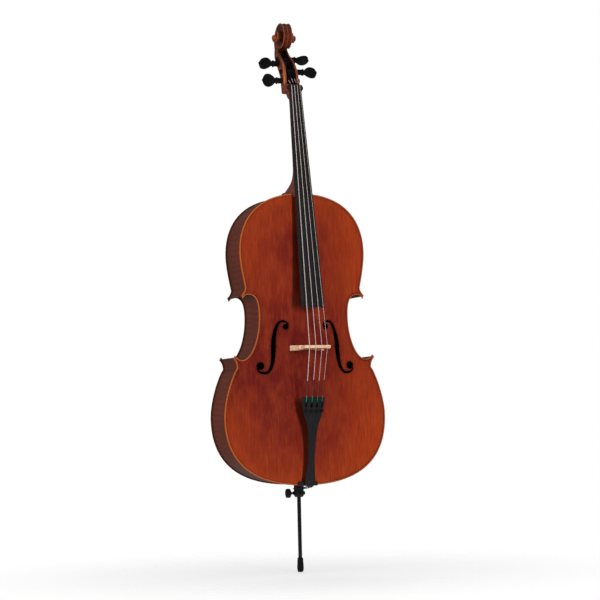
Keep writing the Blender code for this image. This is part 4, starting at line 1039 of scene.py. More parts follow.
def corner_blocks():
    for side, tag in SIDES:
        corner_block("corner_block_lower_%s_fine" % tag, lower, waist, LOW_TIP, side, 54)
        corner_block("corner_block_upper_%s_fine" % tag, waist, upper, UP_TIP, side, 50)


def inside_pieces():
    """Linings, blocks, bar and post keep the frame's solids."""
    solids = ("top_block", "bottom_block", "bass_bar", "sound_post")
    for name, ob in frame["nodes"].items():
        if name.startswith("lining") or name in solids:
            dress(ob, BARE_WOOD)


# ------------------------------------------------------------------ neck and pegbox
def board_top(z):
    return BOARD_NUT_Y - BOARD_SLOPE * (NUT_Z - z)


def board_half(z):
    return 15.5 + (NUT_Z - z) * 15.5 / BOARD_LENGTH


def board_under(z):
    return board_top(z) + 11.0 + (NUT_Z - z) * 4.0 / BOARD_LENGTH


# Stations under the fingerboard: (z, back y, front half width, back half width, exponent);
# the front there is the board's underside. A lower exponent is squarer.
HEEL = [(744.5, 57.9, 22.9, 13.8, 0.25), (757, 57.9, 22.8, 13.8, 0.25),
        (764, 57.7, 22.6, 12.4, 0.42), (769, 55, 22.5, 11, 0.55), (773, 44, 22.4, 11.5, 0.6),
        (778, 24, 22.3, 12.5, 0.62), (784, 3, 22.1, 14, 0.64), (792, -18, 22, 15.5, 0.66),
        (803, -34, 21.7, 17, 0.68), (818, -44.5, 21.3, 18, 0.7)]
# (z, depth of the shaft's back behind the board's top)
SHAFT = [(842, 31.5), (890, 30.5), (950, 29.5), (995, 28.8)]
THROAT = [(1004, -17.0, 16.3, 15.0, 0.72), (1008, -11.5, 16.2, 15.2, 0.7),
          (1011.5, -4, 16.1, 15.5, 0.7), (1016, 3.5, 16.0, 15.8, 0.7),
          (1021, 6.5, 15.9, 16.2, 0.66), (1025.5, 8.0, 15.8, 17.5, 0.5),
          (1027.3, 17.5, 16.2, 21.8, 0.3), (1028.6, 19.3, 21.2, 22.1, 0.24)]
# (z, front y, back y, front half width, back half width, exponent)
PEGBOX = [(1045, -28.4, 20, 21.8, 22.4, 0.2), (1047, -15.5, 20.3, 21.8, 22.4, 0.2),
          (1058, -8.5, 21.0, 21.4, 22.2, 0.2), (1073, -6, 28.5, 20.6, 21.4, 0.2),
          (1091, 0, 44, 19.5, 20.2, 0.2), (1109, 12, 62, 18.2, 18.9, 0.2),
          (1126, 32, 77.5, 17.0, 17.6, 0.2), (1140, 50, 86.5, 15.5, 16.4, 0.22),
          (1154, 58, 90.0, 13.0, 15.0, 0.25), (1172, 62, 91.0, 12.0, 13.2, 0.3)]
NECK = np.array(
    [(z, board_under(z), *rest) for z, *rest in HEEL]
    + [(z, board_under(z), board_top(z) + depth, board_half(z) - 0.15, board_half(z) * 0.9, 0.72)
       for z, depth in SHAFT]
    + [(z, board_under(z), *rest) for z, *rest in THROAT] + PEGBOX)
# (z, size) of the chamfer on the front corners
CHAMFER = np.array([(744.5, 0.15), (1046, 0.15), (1050, 2.4), (1120, 2.6), (1145, 1.8),
                    (1160, 0.4), (1172, 0.2)])
# The pegbox's hollow: (z, front y, back y, half width)
CAVITY = np.array([(1049.4, -40, 12, 14.6), (1058, -40, 16, 14.4), (1073, -36, 22, 13.9),
                   (1091, -30, 35, 13.1), (1109, -20, 52, 12.2), (1126, 0, 67, 11.4),
                   (1139, 14, 75.3, 10.4), (1146, 26, 79.3, 10.0), (1152.5, 36, 82.3, 9.6)])


def at_height(table, z, column=1):
    return float(np.interp(z, table[:, 0], table[:, column]))


def neck_ring(z, front, back, front_half, back_half, power):
    """Superellipse behind a flat front, with the front corners chamfered."""
    chamfer = at_height(CHAMFER, z)
    points = []
    for k in range(1, 40):
        a = math.pi * k / 40
        c, s = math.cos(a), math.sin(a)
        y = front + (back - front) * abs(s) ** power
        half = front_half + (back_half - front_half) * (y - front) / (back - front)
        points.append((half * math.copysign(abs(c) ** power, c), y, z))
    flank = max(chamfer * 1.3, 0.25 * (points[0][1] - front))
    side = [(front_half - chamfer, front, z), (front_half, front + chamfer * 1.15, z),
            (front_half, front + flank, z)]
    return side + points + [(-x, y, z) for x, y, z in reversed(side)]


def cavity_ring(z, front, back, half):
    return [(-half, front, z), (half, front, z), (half, back - 5, z), (half - 1.5, back - 1.5, z),
            (half - 5, back, z), (-half + 5, back, z), (-half + 1.5, back - 1.5, z),
            (-half, back - 5, z)]


def table_rings(make_ring, table, heights):
    columns = [read_curve(table, heights, k) for k in range(1, table.shape[1])]
    return [make_ring(*values) for values in zip(heights, *columns)]


def shade_pegbox(mesh):
    """'rim' lightens the chamfers and front edges, partly wear and partly a painted highlight on
    the bass side; 'dark' is painted shade in the hollow and the throat above it.
    """
    rim = np.zeros(len(mesh.loops), np.float32)
    dark = np.zeros(len(mesh.loops), np.float32)
    body_origin = Vector((0, -PIN_Y, PIN_OUT))
    for face in mesh.polygons:
        c = face.center * 1000 - body_origin
        normal = face.normal
        if not 1047 < c.z < 1172:
            continue
        bass = c.x < 0
        front = at_height(NECK, c.z)
        chamfer = at_height(CHAMFER, c.z)
        hollow = (abs(c.x) < at_height(CAVITY, c.z, 3) + 0.15 and c.y > front + 0.3 and c.z < 1153
                  and (abs(normal.x) > 0.5 or normal.y < 0 or abs(normal.z) > 0.7))
        chamfered = (abs(c.x) > at_height(NECK, c.z, 3) - chamfer - 0.1
                     and c.y < front + chamfer * 1.3 and chamfer > 1)
        for i in face.loop_indices:
            v = mesh.vertices[mesh.loops[i].vertex_index].co * 1000 - body_origin
            # painted shade inside the hollow, deepest away from the front
            if hollow:
                dark[i] = 0.45 if v.y < at_height(NECK, v.z) + 2.0 else 0.985
            # chamfers lighter: wear, plus a painted highlight much stronger on the bass side
            elif chamfered:
                rim[i] = (0.80 if bass else 0.22) * clamp((1135 - v.z) / 60)
            # painted highlight on the bass cheek's front face
            elif c.y < front + 0.6 and normal.y < -0.3:
                rim[i] = (0.26 if bass else 0.0) * clamp((1125 - v.z) / 50)
            # painted shade in the throat under the scroll
            if c.z > 1136 and normal.y < -0.2 and not hollow:
                dark[i] = 0.9 * clamp((v.z - 1137) / 9)
    for key, values in (("rim", rim), ("dark", dark)):
        mesh.attributes.new(key, "FLOAT", "CORNER").data.foreach_set("value", values)


def neck():
    heights = np.unique(np.concatenate([
        np.arange(744.5, 790, 1.25), np.arange(790, 1003, 5), np.arange(1003, 1026, 1.0),
        np.arange(1026, 1030, 0.4), [1031, 1044.6, 1045, 1045.5, 1046, 1046.5, 1047],
        np.arange(1048, 1172, 2.5), [1172]]))
    ob = loft("neck_fine", table_rings(neck_ring, NECK, heights), NECK_MAPLE,
              replaces="neck_scroll", sharp=32)
    heights = np.concatenate([np.arange(1049.4, 1152, 4), [1152.5]])
    tool = loft("cavity_tool", table_rings(cavity_ring, CAVITY, heights), NECK_MAPLE, body=None)
    cut(ob, [tool], sharp=32)
    shade_pegbox(ob.data)


# ------------------------------------------------------------------ scroll
# (angle in degrees, radius), from the pegbox inwards
SPIRAL = np.array([
    (-40, 44), (0, 43.5), (45, 41.5), (90, 40), (135, 38.5), (180, 36.5), (225, 32), (270, 27.5),
    (315, 24.8), (360, 22.6), (405, 20.6), (450, 18.8), (495, 17), (540, 15.2), (585, 13.4),
    (630, 11.8), (680, 10.3), (760, 8.0)])
# (angle in degrees, half width)
SPIRAL_WIDTHS = np.array([
    (-40, 14.5), (0, 13.4), (60, 12.4), (140, 11.8), (200, 12.0), (270, 13.0), (330, 15.0),
    (400, 18.0), (470, 21.0), (540, 24.0), (610, 27.0), (680, 29.5), (760, 31.0)])


def scroll_section(angle):
    """Section of the band at an angle, as (x, radius, rim, dark) all the way round."""
    r = float(read_curve(SPIRAL, angle))
    w = float(read_curve(SPIRAL_WIDTHS, angle))
    # the band reaches in to the next turn
    r_in = float(read_curve(SPIRAL, angle + 360)) if angle + 360 <= 760 else 6.0
    band = r - r_in
    w_in = w - min(2.6, band * 0.16)
    # rim lightens the band's outer corners; dark is painted shade in the crevice against the next
    # turn
    half = [(w * 0.2, r - 1.0, 0, 0), (w * 0.5, r - 1.7, 0, 0), (w * 0.8, r - 0.7, 0, 0),
            (w - 0.9, r, 0.55, 0), (w - 0.25, r - 0.35, 0.75, 0), (w, r - 1.2, 0.55, 0),
            (w - 0.5, r - 2.6, 0.1, 0), (w_in - 0.3, r - band * 0.45, 0, 0.1),
            (w_in - 0.6, r - band * 0.75, 0, 0.3), (w_in - 0.2, r_in - 0.5, 0, 0.85),
            (w_in - 1.0, r_in - 3.0, 0, 0.9)]
    other = [(-x, *rest) for x, *rest in half]
    return other[3::-1] + [(0, r - 0.1, 0.3, 0)] + half + other[:3:-1]


def scroll():
    rings, rim, dark = [], [], []
    for angle in np.arange(-40, 701, 4):
        section = scroll_section(angle)
        c, s = math.cos(math.radians(angle)), math.sin(math.radians(angle))
        rings.append([(x, EYE_Y + c * r, EYE_Z + s * r) for x, r, _, _ in section])
        rim += [p[2] for p in section]
        dark += [p[3] for p in section]
    loft("scroll_fine", rings, SCROLL_MAPLE, replaces="", attrs={"rim": rim, "dark": dark},
         sharp=50)
    profile = round_corners([(0, 32.4), (5.5, 32.2), (8.0, 29.5), (8.6, 20), (0, 20)], 1.6)
    # the bass eye takes the lighter maple as a painted highlight; the treble eye keeps the scroll's
    # tone
    for side, tag in SIDES:
        turned("scroll_eye_" + tag, profile, (0, EYE_Y, EYE_Z), (side, 0, 0),
               EYE_HIGHLIGHT_MAPLE if side < 0 else SCROLL_MAPLE, steps=32)


# ------------------------------------------------------------------ pegs
# (x from the collar, half thickness, half width)
PEG_COLLAR = [(-5.9, 7.7, 7.7), (-5.2, 8.7, 8.7), (-4.2, 9.3, 9.3), (-3.2, 9.4, 9.4),
              (-2.5, 8.9, 8.9), (-2.0, 7.9, 8.0), (-1.2, 7.4, 7.5), (0.2, 6.6, 6.9),
              (1.8, 6.2, 7.2)]
# (fraction of the head's length, half width, half thickness)
PEG_HEAD = [(0.05, 8.6, 6.3), (0.12, 11.2, 6.2), (0.2, 13.4, 5.7), (0.3, 15.6, 5.2),
            (0.42, 17.2, 4.9), (0.54, 17.8, 4.8), (0.66, 17.5, 5.0), (0.76, 16.4, 5.3),
            (0.85, 14.2, 5.7), (0.92, 11.0, 5.8), (0.97, 7.2, 5.4), (0.992, 4.4, 4.4)]
PEG_HEAD_START, PEG_HEAD_LENGTH = 1.6, 33.0
# (x past the head, radius) of the small knob
PEG_KNOB = [(0.1, 3.0), (0.8, 3.2), (1.5, 2.7), (2.0, 1.4)]


def peg_radius(x):
    return 6.9 + x * 0.021


def peg_stations(peg):
    """(x, half thickness, half width) from the thin end out to the knob."""
    wall = 24.5 - (peg.z - 1060) * 0.06
    thin, collar = -(wall + 0.5), peg.collar
    shaft = [(thin - 1.2, 4.4), (thin - 0.6, 6.1), (thin, peg_radius(thin)),
             (-5, peg_radius(-5)), (collar - 6.6, peg_radius(collar - 6))]
    head_start = collar + PEG_HEAD_START
    end = head_start + PEG_HEAD_LENGTH
    return ([(x, r, r) for x, r in shaft]
            + [(collar + x, thick, wide) for x, thick, wide in PEG_COLLAR]
            + [(head_start + f * PEG_HEAD_LENGTH, thick, wide) for f, wide, thick in PEG_HEAD]
            + [(end + x, r, r) for x, r in PEG_KNOB])


def pegs():
    for name, peg in PEGS.items():
        c, s = math.cos(math.radians(peg.turn)), math.sin(math.radians(peg.turn))
        rings = []
        for x, thick, wide in peg_stations(peg):
            ring = []
            for k in range(36):
                a = 2 * math.pi * k / 36
                y, z = thick * math.cos(a), wide * math.sin(a)
                if wide > 12:    # thumb hollows on both faces of the head
                    across = max(0.0, 1 - (abs(z) / (wide * 0.75)) ** 2)
                    y -= math.copysign(0.9, math.cos(a)) * across * min(1, (wide - 12) / 4)
                ring.append((peg.side * x, peg.y + c * y - s * z, peg.z + s * y + c * z))
            rings.append(ring)
        loft("peg_%s_fine" % name, rings, PEG_EBONY, body="peg_" + name, sharp=45)


# ------------------------------------------------------------------ fingerboard, nut, saddle
def board_ring(z, hollow, shrink):
    """Section of the board; hollow lifts its underside, shrink rounds its end."""
    half, top = board_half(z) - shrink, board_top(z) + shrink
    side_y = top + sag(BOARD_R, half)
    low = top + board_under(z) - board_top(z) - 0.1 - shrink * 2
    arc = [f * (half - 0.4) for f in np.linspace(-1, 1, 25)[1:-1]]
    under = [(f * (half - 5), low - hollow * (1 - f * f), z) for f in (1, .6, .3, 0, -.3, -.6, -1)]
    return ([(-half, side_y + 1.6, z), (-half + 0.25, side_y + 0.55, z)]
            + [(x, top + sag(BOARD_R, x), z) for x in arc]
            + [(half - 0.25, side_y + 0.55, z), (half, side_y + 1.6, z), (half, low, z)]
            + under + [(-half, low, z)])


def fingerboard():
    end = NUT_Z - BOARD_LENGTH
    # (z, hollow, shrink)
    stations = [(end, 5.5, 0.9), (end + 0.3, 5.5, 0.4), (end + 1.0, 5.5, 0), (500, 5.3, 0),
                (560, 5.0, 0), (620, 4.7, 0), (680, 4.4, 0), (728, 3.6, 0), (733, 2.0, 0)]
    stations += [(z, 0.01, 0) for z in (738, 800, 900, 1000, NUT_Z)]
    loft("fingerboard_fine", [board_ring(*s) for s in stations], EBONY, sharp=35)


# (z, fall from the crest) over the nut's top
NUT_PROFILE = ((0.0, 1.1), (0.3, 0.5), (1.1, 0.12), (2.4, 0.0), (4.5, 0.0), (6.4, 0.6),
               (8.0, 1.8), (9.2, 3.4), (9.7, 4.8))
# (x, rounding) of the ears beyond the fingerboard's sides
NUT_EARS = [(22.0, 2.3), (21.8, 1.5), (21.3, 0.8), (20.6, 0.3), (19.6, 0.0), (17.5, 0.0),
            (16.2, 0.0)]


def nut_section(x, end=0.0):
    """Crest above the fingerboard's end; the ears also reach down over the pegbox shoulders."""
    low, high = NUT_Z + 0.05, NUT_Z + 9.9
    if abs(x) > 16:
        low, high = NUT_Z - 3.0 + end, NUT_Z + 7.5 - end
    top = NUT_CREST_Y + sag(NUT_CREST_R, x) + end * 1.1
    seat = [board_under(1030.5) + (z - 1030.5) * 0.1517 - 0.02 for z in (high, low)]
    points = [(x, top + fall, low + z / 9.7 * (high - low)) for z, fall in NUT_PROFILE]
    return points + [(x, seat[0], high), (x, seat[1], low)]


def nut():
    loft("nut_fine", [nut_section(-x, end) for x, end in NUT_EARS]
         + [nut_section(x) for x in np.linspace(-15.85, 15.85, 29)]
         + [nut_section(x, end) for x, end in reversed(NUT_EARS)], EBONY, sharp=35)


SADDLE_BASE, SADDLE_TOP, SADDLE_LOW, SADDLE_HIGH = -58.5, -74.6, -1.0, 10.5    # y, y, z, z


def saddle_section(x):
    base, top, low, high = SADDLE_BASE, SADDLE_TOP, SADDLE_LOW, SADDLE_HIGH
    profile = [(base, low), (top + 4.5, low), (top + 2.0, low + 0.5), (top + 0.5, low + 1.8),
               (top, low + 3.6), (top + 0.2, high - 5.0), (top + 1.5, high - 2.2),
               (top + 4.2, high - 0.5), (top + 8, high), (base, high)]
    end = max(0.0, (abs(x) - 21) / 6.0)    # the ends round off toward the plate
    return [(x, min(y + 9.0 * end * end, base) if y < -62 else y, z) for y, z in profile]


def saddle():
    xs = (-27, -26, -24.5, -22.5, -20, -10, 0, 10, 20, 22.5, 24.5, 26, 27)
    loft("saddle_fine", [saddle_section(x) for x in xs], EBONY, sharp=50)


# ------------------------------------------------------------------ bridge
def foot(x):
    """Surface of the front plate under the bridge."""
    return -(PLATE_FACE + float(arch(x, BRIDGE_Z, ARCH_FRONT))) - 0.05


# Half outline in (x, y), from the foot's inner corner up to the shoulder
BRIDGE_SIDE = [
    (21.0, foot(21)), (29.0, foot(29)), (38.0, foot(38)), (45.4, foot(45.4)),
    (46.4, foot(46) - 1.2), (46.0, foot(46) - 5.0), (42.5, foot(42) - 7.6),
    (37.5, foot(37) - 10.5), (33.5, -99.0), (31.0, -106.0), (29.6, -114), (28.6, -121.5),
    (27.0, -126.0), (27.5, -130.5), (31.5, -132.0), (35.0, -129.4), (39.5, -129.0),
    (42.3, -132.5), (42.4, -138.0), (39.5, -142.5), (35.0, -145.0), (33.6, -149.5),
    (34.8, -155.0), (35.6, -161.0), (34.2, -165.9)]
# The opening between the feet, and the heart, from their outer or lower end to the middle
BRIDGE_OPENING = [(22.6, -89), (22.0, -97), (19.5, -104.5), (13, -110.5), (6, -113.4), (0, -114.2)]
BRIDGE_HEART = [(0, -123.5), (4.5, -128.5), (8.6, -133), (10.0, -137.5), (7.8, -141.2),
                (3.6, -141.4), (0, -138.6)]


def place_in_bridge(x, y, depth):
    """The bridge tapers from 13.5 thick at the feet to 7 at the crest."""
    return (x, y, BRIDGE_Z + depth * (13.5 - 6.5 * clamp((-84 - y) / 88)))


def bridge():
    crown = [(x, BRIDGE_CREST_Y + sag(BRIDGE_CREST_R, x)) for x in (30, 24, 16, 8, 0)]
    half = BRIDGE_SIDE + crown
    loop = (half + [(-x, y) for x, y in half[-2::-1]] + [(-x, y) for x, y in BRIDGE_OPENING]
            + BRIDGE_OPENING[-2::-1])
    last, shoulder = 2 * len(half) - 2, len(BRIDGE_SIDE) - 1
    outline = cut_corners(loop, 3, {0, last, shoulder, last - shoulder})
    heart = BRIDGE_HEART + [(-x, y) for x, y in BRIDGE_HEART[-2:0:-1]]
    heart = cut_corners(heart, 2, {0, len(BRIDGE_HEART) - 1})
    ob = flat_solid("bridge_fine", outline, -0.5, 0.5, BRIDGE_MAPLE, [heart], place_in_bridge)
    bevel(ob, width=0.6, segments=2, angle=50)


# ------------------------------------------------------------------ tailpiece and tuners
TAIL_ORIGIN = Vector((0, -134.0, 228.0))    # middle of the top, at the bridge end
TAIL_ALONG = Vector((0, 0.2073, -0.9783)).normalized()
TAIL_OUT = Vector((0, -0.9783, -0.2073)).normalized()
TAIL_START, TAIL_LENGTH, TAIL_R = 4.5, 239.0, 55
# (distance along, half width)
TAIL_PLAN = np.array([
    (TAIL_START, 31.2), (10, 31.3), (20, 30), (41, 26.5), (59, 20.5), (77, 15), (104, 10.6),
    (128, 9.2), (161, 8.8), (182, 10), (204, 12.2), (218, 13.6), (228, 13.0), (235, 9.8),
    (TAIL_LENGTH, 4.5)])


def on_tail(x, out, along):
    return TAIL_ORIGIN + TAIL_OUT * out + TAIL_ALONG * along + Vector((x, 0, 0))


def tail_ring(along, half, drop):
    """Section of the tailpiece; drop sinks the top and lifts the underside to round the ends."""
    deep = 13.6 if along < 50 else max(6.4, 13.6 - (along - 50) * 0.11)
    edge = [(half - step, -sag(TAIL_R, half) - fall - drop)
            for step, fall in ((0, 2.6), (0.15, 1.2), (0.7, 0.35))]
    section = [(-x, out) for x, out in edge]
    for f in np.linspace(-1, 1, 23):
        x = f * (half - 1.6)
        ridge = min(1.0, (along - 60) / 50) * (0.9 * (1 - abs(f)) - 0.2) if along > 60 else 0.0
        section.append((x, -sag(TAIL_R, x) - drop + ridge))
    section += edge[::-1]
    section += [(half * f, -deep + lift + drop)
                for f, lift in ((.93, 1.2), (.82, 0), (0, 0), (-.82, 0), (-.93, 1.2))]
    return [on_tail(x, out, along) for x, out in section]


def tail_tool(outline, low, high):
    rings = [[on_tail(x, out, along) for x, along in outline] for out in (low, high)]
    return loft("tool", rings, EBONY, body=None)


def tuner_tools(x, half=2.6):
    """A round-ended slot right through, and a square pocket in the underside beyond it."""
    start, end = 9.6 + half, 30.0 - half
    angles = [math.pi * k / 8 for k in range(9)]
    slot = ([(x + half * math.cos(a), start - half * math.sin(a)) for a in angles]
            + [(x - half * math.cos(a), end + half * math.sin(a)) for a in angles])
    pocket = [(x - half, 26), (x + half, 26), (x + half, 46), (x - half, 46)]
    return [tail_tool(slot, -20, 6), tail_tool(pocket, -20, -7.2)]


def tailpiece():
    stations = np.unique(np.concatenate([
        [4.5, 4.75, 5.2, 6.0, 7.5], np.arange(9.5, 222, 4.0), np.arange(222, 238, 1.6),
        [238.2, 238.8, 239]]))
    rings = []
    for along in stations:
        half = float(read_curve(TAIL_PLAN, along))
        near = 1 - min(along - TAIL_START, 1.5) / 1.5
        far = max(0, along - 233) / 6
        near_drop = 1.1 * (1 - math.sqrt(max(0, 1 - near ** 2)))
        far_drop = 1.8 * (1 - math.sqrt(max(0, 1 - far ** 2)))
        rings.append(tail_ring(along, half - near_drop * 0.5, near_drop + far_drop))
    ob = loft("tailpiece_fine", rings, EBONY, sharp=40)
    cut(ob, [tool for string in STRINGS.values() for tool in tuner_tools(string.tuner_x)],
        sharp=40)


def fine_tuners():
    for name, string in STRINGS.items():
        fall = sag(TAIL_R, abs(string.tuner_x) - 3.9)
        tip = -8.3 + fall
        profile = [(0, 6.2), (2.3, 6.2), (2.8, 6.1), (3.5, 5.6), (3.9, 5.0), (3.9, 1.8),
                   (3.4, 1.1), (2.4, 0.75), (1.65, 0.7), (1.65, tip + 0.5), (1.1, tip), (0, tip)]
        turned("fine_tuner_screw_%s_fine" % name, profile, on_tail(string.tuner_x, -fall, 38.0),
               TAIL_OUT, BLACK_METAL, knurl=(1.7, 5.1, 18, 0.35), body="tuner_screw_" + name,
               sharp=35)
    for name, ob in frame["nodes"].items():
        if name.startswith("fine_tuner_lever"):
            dress(ob, BLACK_METAL)
        if name == "fine_tuner_axle":
            dress(ob, STEEL)


# ------------------------------------------------------------------ strings
# Pegs each string touches on its way from the nut, its own last
PEGS_PASSED = {"c": "c", "g": "ag", "d": "agd", "a": "a"}
COIL_TURNS, COIL_STEPS = 3, 24


def front_chain(start, wheels, sides=36):
    """Taut path in (y, z) from start round the front of wheels (y, z, radius).

    Returns the path and the angle at which it meets the last wheel.
    """
    points = []
    for k, (y, z, r) in enumerate(wheels):
        for j in range(sides):
            a = 2 * math.pi * j / sides
            points.append((y + r * math.cos(a), z + r * math.sin(a), k, a))
    here, path = start, []
    while True:
        best = points[0]
        for p in points:
            turn = ((best[0] - here[0]) * (p[1] - here[1])
                    - (best[1] - here[1]) * (p[0] - here[0]))
            if turn > 1e-9:
                best = p
        here = best
        path.append(here[:2])
        if here[2] == len(wheels) - 1:
            return path, here[3]
        points = [p for p in points
                  if p[2] > here[2] or (p[2] == here[2] and p[1] > here[1] + 1e-9)]


def tail_path(string):
    """From the ball under the tailpiece's top up through the slot."""
    x, r = string.tuner_x, string.radius
    fall = sag(TAIL_R, x)
    return [on_tail(x, out, along) for out, along in (
        (-fall + 0.3, 16.2), (-fall + 0.3, 14.2), (-fall + r + 0.8, 9.6), (-fall + r + 0.9, 3.5))]


def nut_path(string):
    crest = NUT_CREST_Y + sag(NUT_CREST_R, string.nut_x)
    return [Vector((string.nut_x, crest + fall - 0.12 - string.radius, NUT_Z + z))
            for z, fall in ((0.5, 0.0), (2.5, 0.0), (5.0, 0.25), (7.6, 1.6), (10.0, 4.4))]


def head_path(name, start):
    """From the nut past the pegs in the way, then round the string's own peg."""
    string, peg = STRINGS[name], PEGS[name]
    wheels = []
    for other in (PEGS[n] for n in PEGS_PASSED[name]):
        x = other.side * peg.side * peg.coil
        wheels.append((other.y, other.z, peg_radius(x) + string.radius + 0.15))
    chain, angle = front_chain((start.y, start.z), wheels)
    total = math.hypot(chain[-1][0] - start.y, chain[-1][1] - start.z)
    points = []
    for y, z in chain:
        f = math.hypot(y - start.y, z - start.z) / total
        points.append(Vector((string.nut_x + (peg.side * peg.coil - string.nut_x) * f, y, z)))
    wheel_y, wheel_z, r = wheels[-1]
    pitch = 2 * string.radius + 0.25
    for j in range(1, COIL_STEPS * COIL_TURNS + 1):
        a = angle - 2 * math.pi * j / COIL_STEPS
        points.append(Vector((peg.side * (peg.coil - pitch * j / COIL_STEPS),
                              wheel_y + r * math.cos(a), wheel_z + r * math.sin(a))))
    return points


def strings():
    ball = round_corners([(0, 2.0), (2.0, 2.0), (2.0, -2.0), (0, -2.0)], 0.8)
    for i, (name, string) in enumerate(STRINGS.items()):
        x, r = string.bridge_x, string.radius
        tail, at_nut = tail_path(string), nut_path(string)
        head = head_path(name, at_nut[-1])
        crest = Vector((x, BRIDGE_CREST_Y + sag(BRIDGE_CREST_R, x) - 0.1 - r, BRIDGE_Z))
        low, high = crest + Vector((0, 0, -3.6)), crest + Vector((0, 0, 3.6))
        over_bridge = [low + (tail[-1] - low).normalized() * 1.2, low + Vector((0, -0.15, 0.8)),
                       high + Vector((0, -0.15, -0.8))]
        speaking = [high.lerp(at_nut[0], f) for f in (0.003, 0.25, 0.5, 0.75)]
        tube("string_%s_fine" % name, tail + over_bridge + speaking + at_nut + head, r,
             STRING_STEEL)
        turned("string_ball_" + name, ball,
               on_tail(string.tuner_x, -sag(TAIL_R, string.tuner_x) + 0.3, 18.5), TAIL_ALONG,
               BLACK_METAL._replace(slot="string_steel"), steps=20)
        # silk wraps: two at the tailpiece and one past the nut; the near-black wrap from the pegbox
        # round the peg is painted shade of the pegbox
        up = [tail[3].lerp(low, f) for f in (0.0, 0.1, 0.2, 0.34 + 0.02 * (i % 2))]
        away = head[0] - at_nut[-1]
        past_nut = at_nut[-1] + away * min(0.6, 9.0 / away.length)
        peg_start = at_nut[-1] + away * min(0.9, 27.0 / away.length)
        for part, path, thick, finish in (
                ("tail", [tail[2]] + up, 0.2, SILK_DARK),
                ("loop", tail + [up[0].lerp(up[1], 0.35)], 0.34, SILK_GREEN),
                ("head", at_nut[3:] + [past_nut], 0.14, SILK_VIOLET),
                ("peg", [peg_start] + head, 0.12, PEGBOX_SHADE_WRAP)):
            tube("string_silk_%s_%s" % (part, name), path, r + thick, finish)


# ------------------------------------------------------------------ endpin and tail cord
# Profiles are (radius, height) from the body's bottom; the thumbscrew's is from the pin's axis
# and the tip's from the floor.
PLUG_PROFILE = [(5.45, 38), (11.0, 38), (12.6, 3.4), (13.0, 2.4), (13.0, -25.6), (12.3, -28.4),
                (10.6, -30.8), (8.2, -32), (5.45, -32)]
COLLAR_PROFILE = [(13.05, -17), (16.0, -17), (16.5, -17.5), (16.5, -24.9), (16.0, -25.4),
                  (13.05, -25.4)]
SCREW_PROFILE = [(0, 35.6), (6.6, 35.5), (8.6, 35.2), (10.8, 34.4), (11.7, 33.5), (12.0, 32.7),
                 (12.0, 26.6), (11.7, 25.6), (10.8, 24.4), (8.4, 23.6), (6.0, 22.9), (4.6, 21.6),
                 (4.2, 20.5), (2.75, 20.4), (2.75, 6.4), (2.0, 5.4), (0, 5.4)]
ROD_PROFILE = [(0, 268), (5.0, 268), (5.0, -PIN_OUT + 9.3), (0, -PIN_OUT + 9.3)]
TIP_PROFILE = [(5.05, 37), (6.6, 37), (7.0, 36.7), (7.25, 36), (7.4, 34), (7.9, 25), (8.3, 17),
               (8.65, 11.5), (8.7, 9.0), (8.4, 6.4), (7.8, 4.2), (6.9, 2.0), (6.0, 0.6),
               (5.4, 0.0), (0, 0), (0, 9.0), (5.05, 9.0)]


def endpin():
    origin, up = (0, PIN_Y, 0), (0, 0, 1)
    turned("endpin_plug_fine", round_corners(PLUG_PROFILE, 0.8), origin, up, EBONY, steps=48,
           closed=True)
    turned("endpin_collar_fine", round_corners(COLLAR_PROFILE, 0.35, 3), origin, up, BLACK_METAL,
           steps=56, closed=True)
    turned("endpin_thumbscrew_fine", SCREW_PROFILE, (0, PIN_Y, -21.2), (-1, 0, 0), BLACK_METAL,
           knurl=(26.4, 33.0, 24, 0.8), body="thumbscrew", sharp=30)
    turned("endpin_rod_fine", round_corners(ROD_PROFILE, 0.6), origin, up, BLACK_ROD, steps=36,
           body="endpin")
    turned("endpin_tip_fine", TIP_PROFILE, (0, PIN_Y, -PIN_OUT), up, RUBBER, body="endpin",
           closed=True)


def tail_cord():
    """From the tailpiece over the saddle, round behind the endpin and back."""
    loop_r = 14.6
    side = [tuple(on_tail(5.2, -5.2, 196)), tuple(on_tail(5.2, -8.3, 207)), (5.3, -77.4, 14),
            (5.6, -76.1, 8.5), (6.0, -76.2, 2), (6.6, -75.4, -1.6), (7.2, -72, -3.6),
            (10, -40, -7), (loop_r, 0, -9.5)]
    angles = [math.pi * k / 16 for k in range(17)]
    loop = [(loop_r * math.cos(a), PIN_Y + loop_r * math.sin(a), -9.8) for a in angles]
    path = side + loop + [(-x, y, z) for x, y, z in reversed(side)]
    tube("tail_cord_fine", path, 1.4, CORD, sides=12)


# ------------------------------------------------------------------ stage, light, camera (metres)
def floor():
    """White plane that fades to clear away from the endpin."""
    bpy.ops.mesh.primitive_plane_add(size=30, location=(0, 0, 0))
    ob = bpy.context.object
    ob.name = "floor"
    white = Surface("floor_white")
    cloud = white.noise((3, 3, 3), detail=2.0)
    white.set({"Base Color": white.mix(cloud, (0.86, 0.86, 0.86), (0.90, 0.90, 0.90)),
               "Roughness": 0.9, "Specular IOR Level": 0.0})
    reach = white.node("ShaderNodeVectorMath", {0: white.object_coords()}, operation="LENGTH")
    fade = white.smooth_range(reach.outputs["Value"], 0.12, 1.0, 0.55, 1.0)
    clear = white.node("ShaderNodeBsdfTransparent")
    mixed = white.node("ShaderNodeMixShader", {0: fade, 1: white.principled.outputs[0],
                                               2: clear.outputs[0]})
    fill(white.tree, white.tree.nodes["Material Output"], {"Surface": mixed.outputs[0]})
    ob.data.materials.append(white.material)


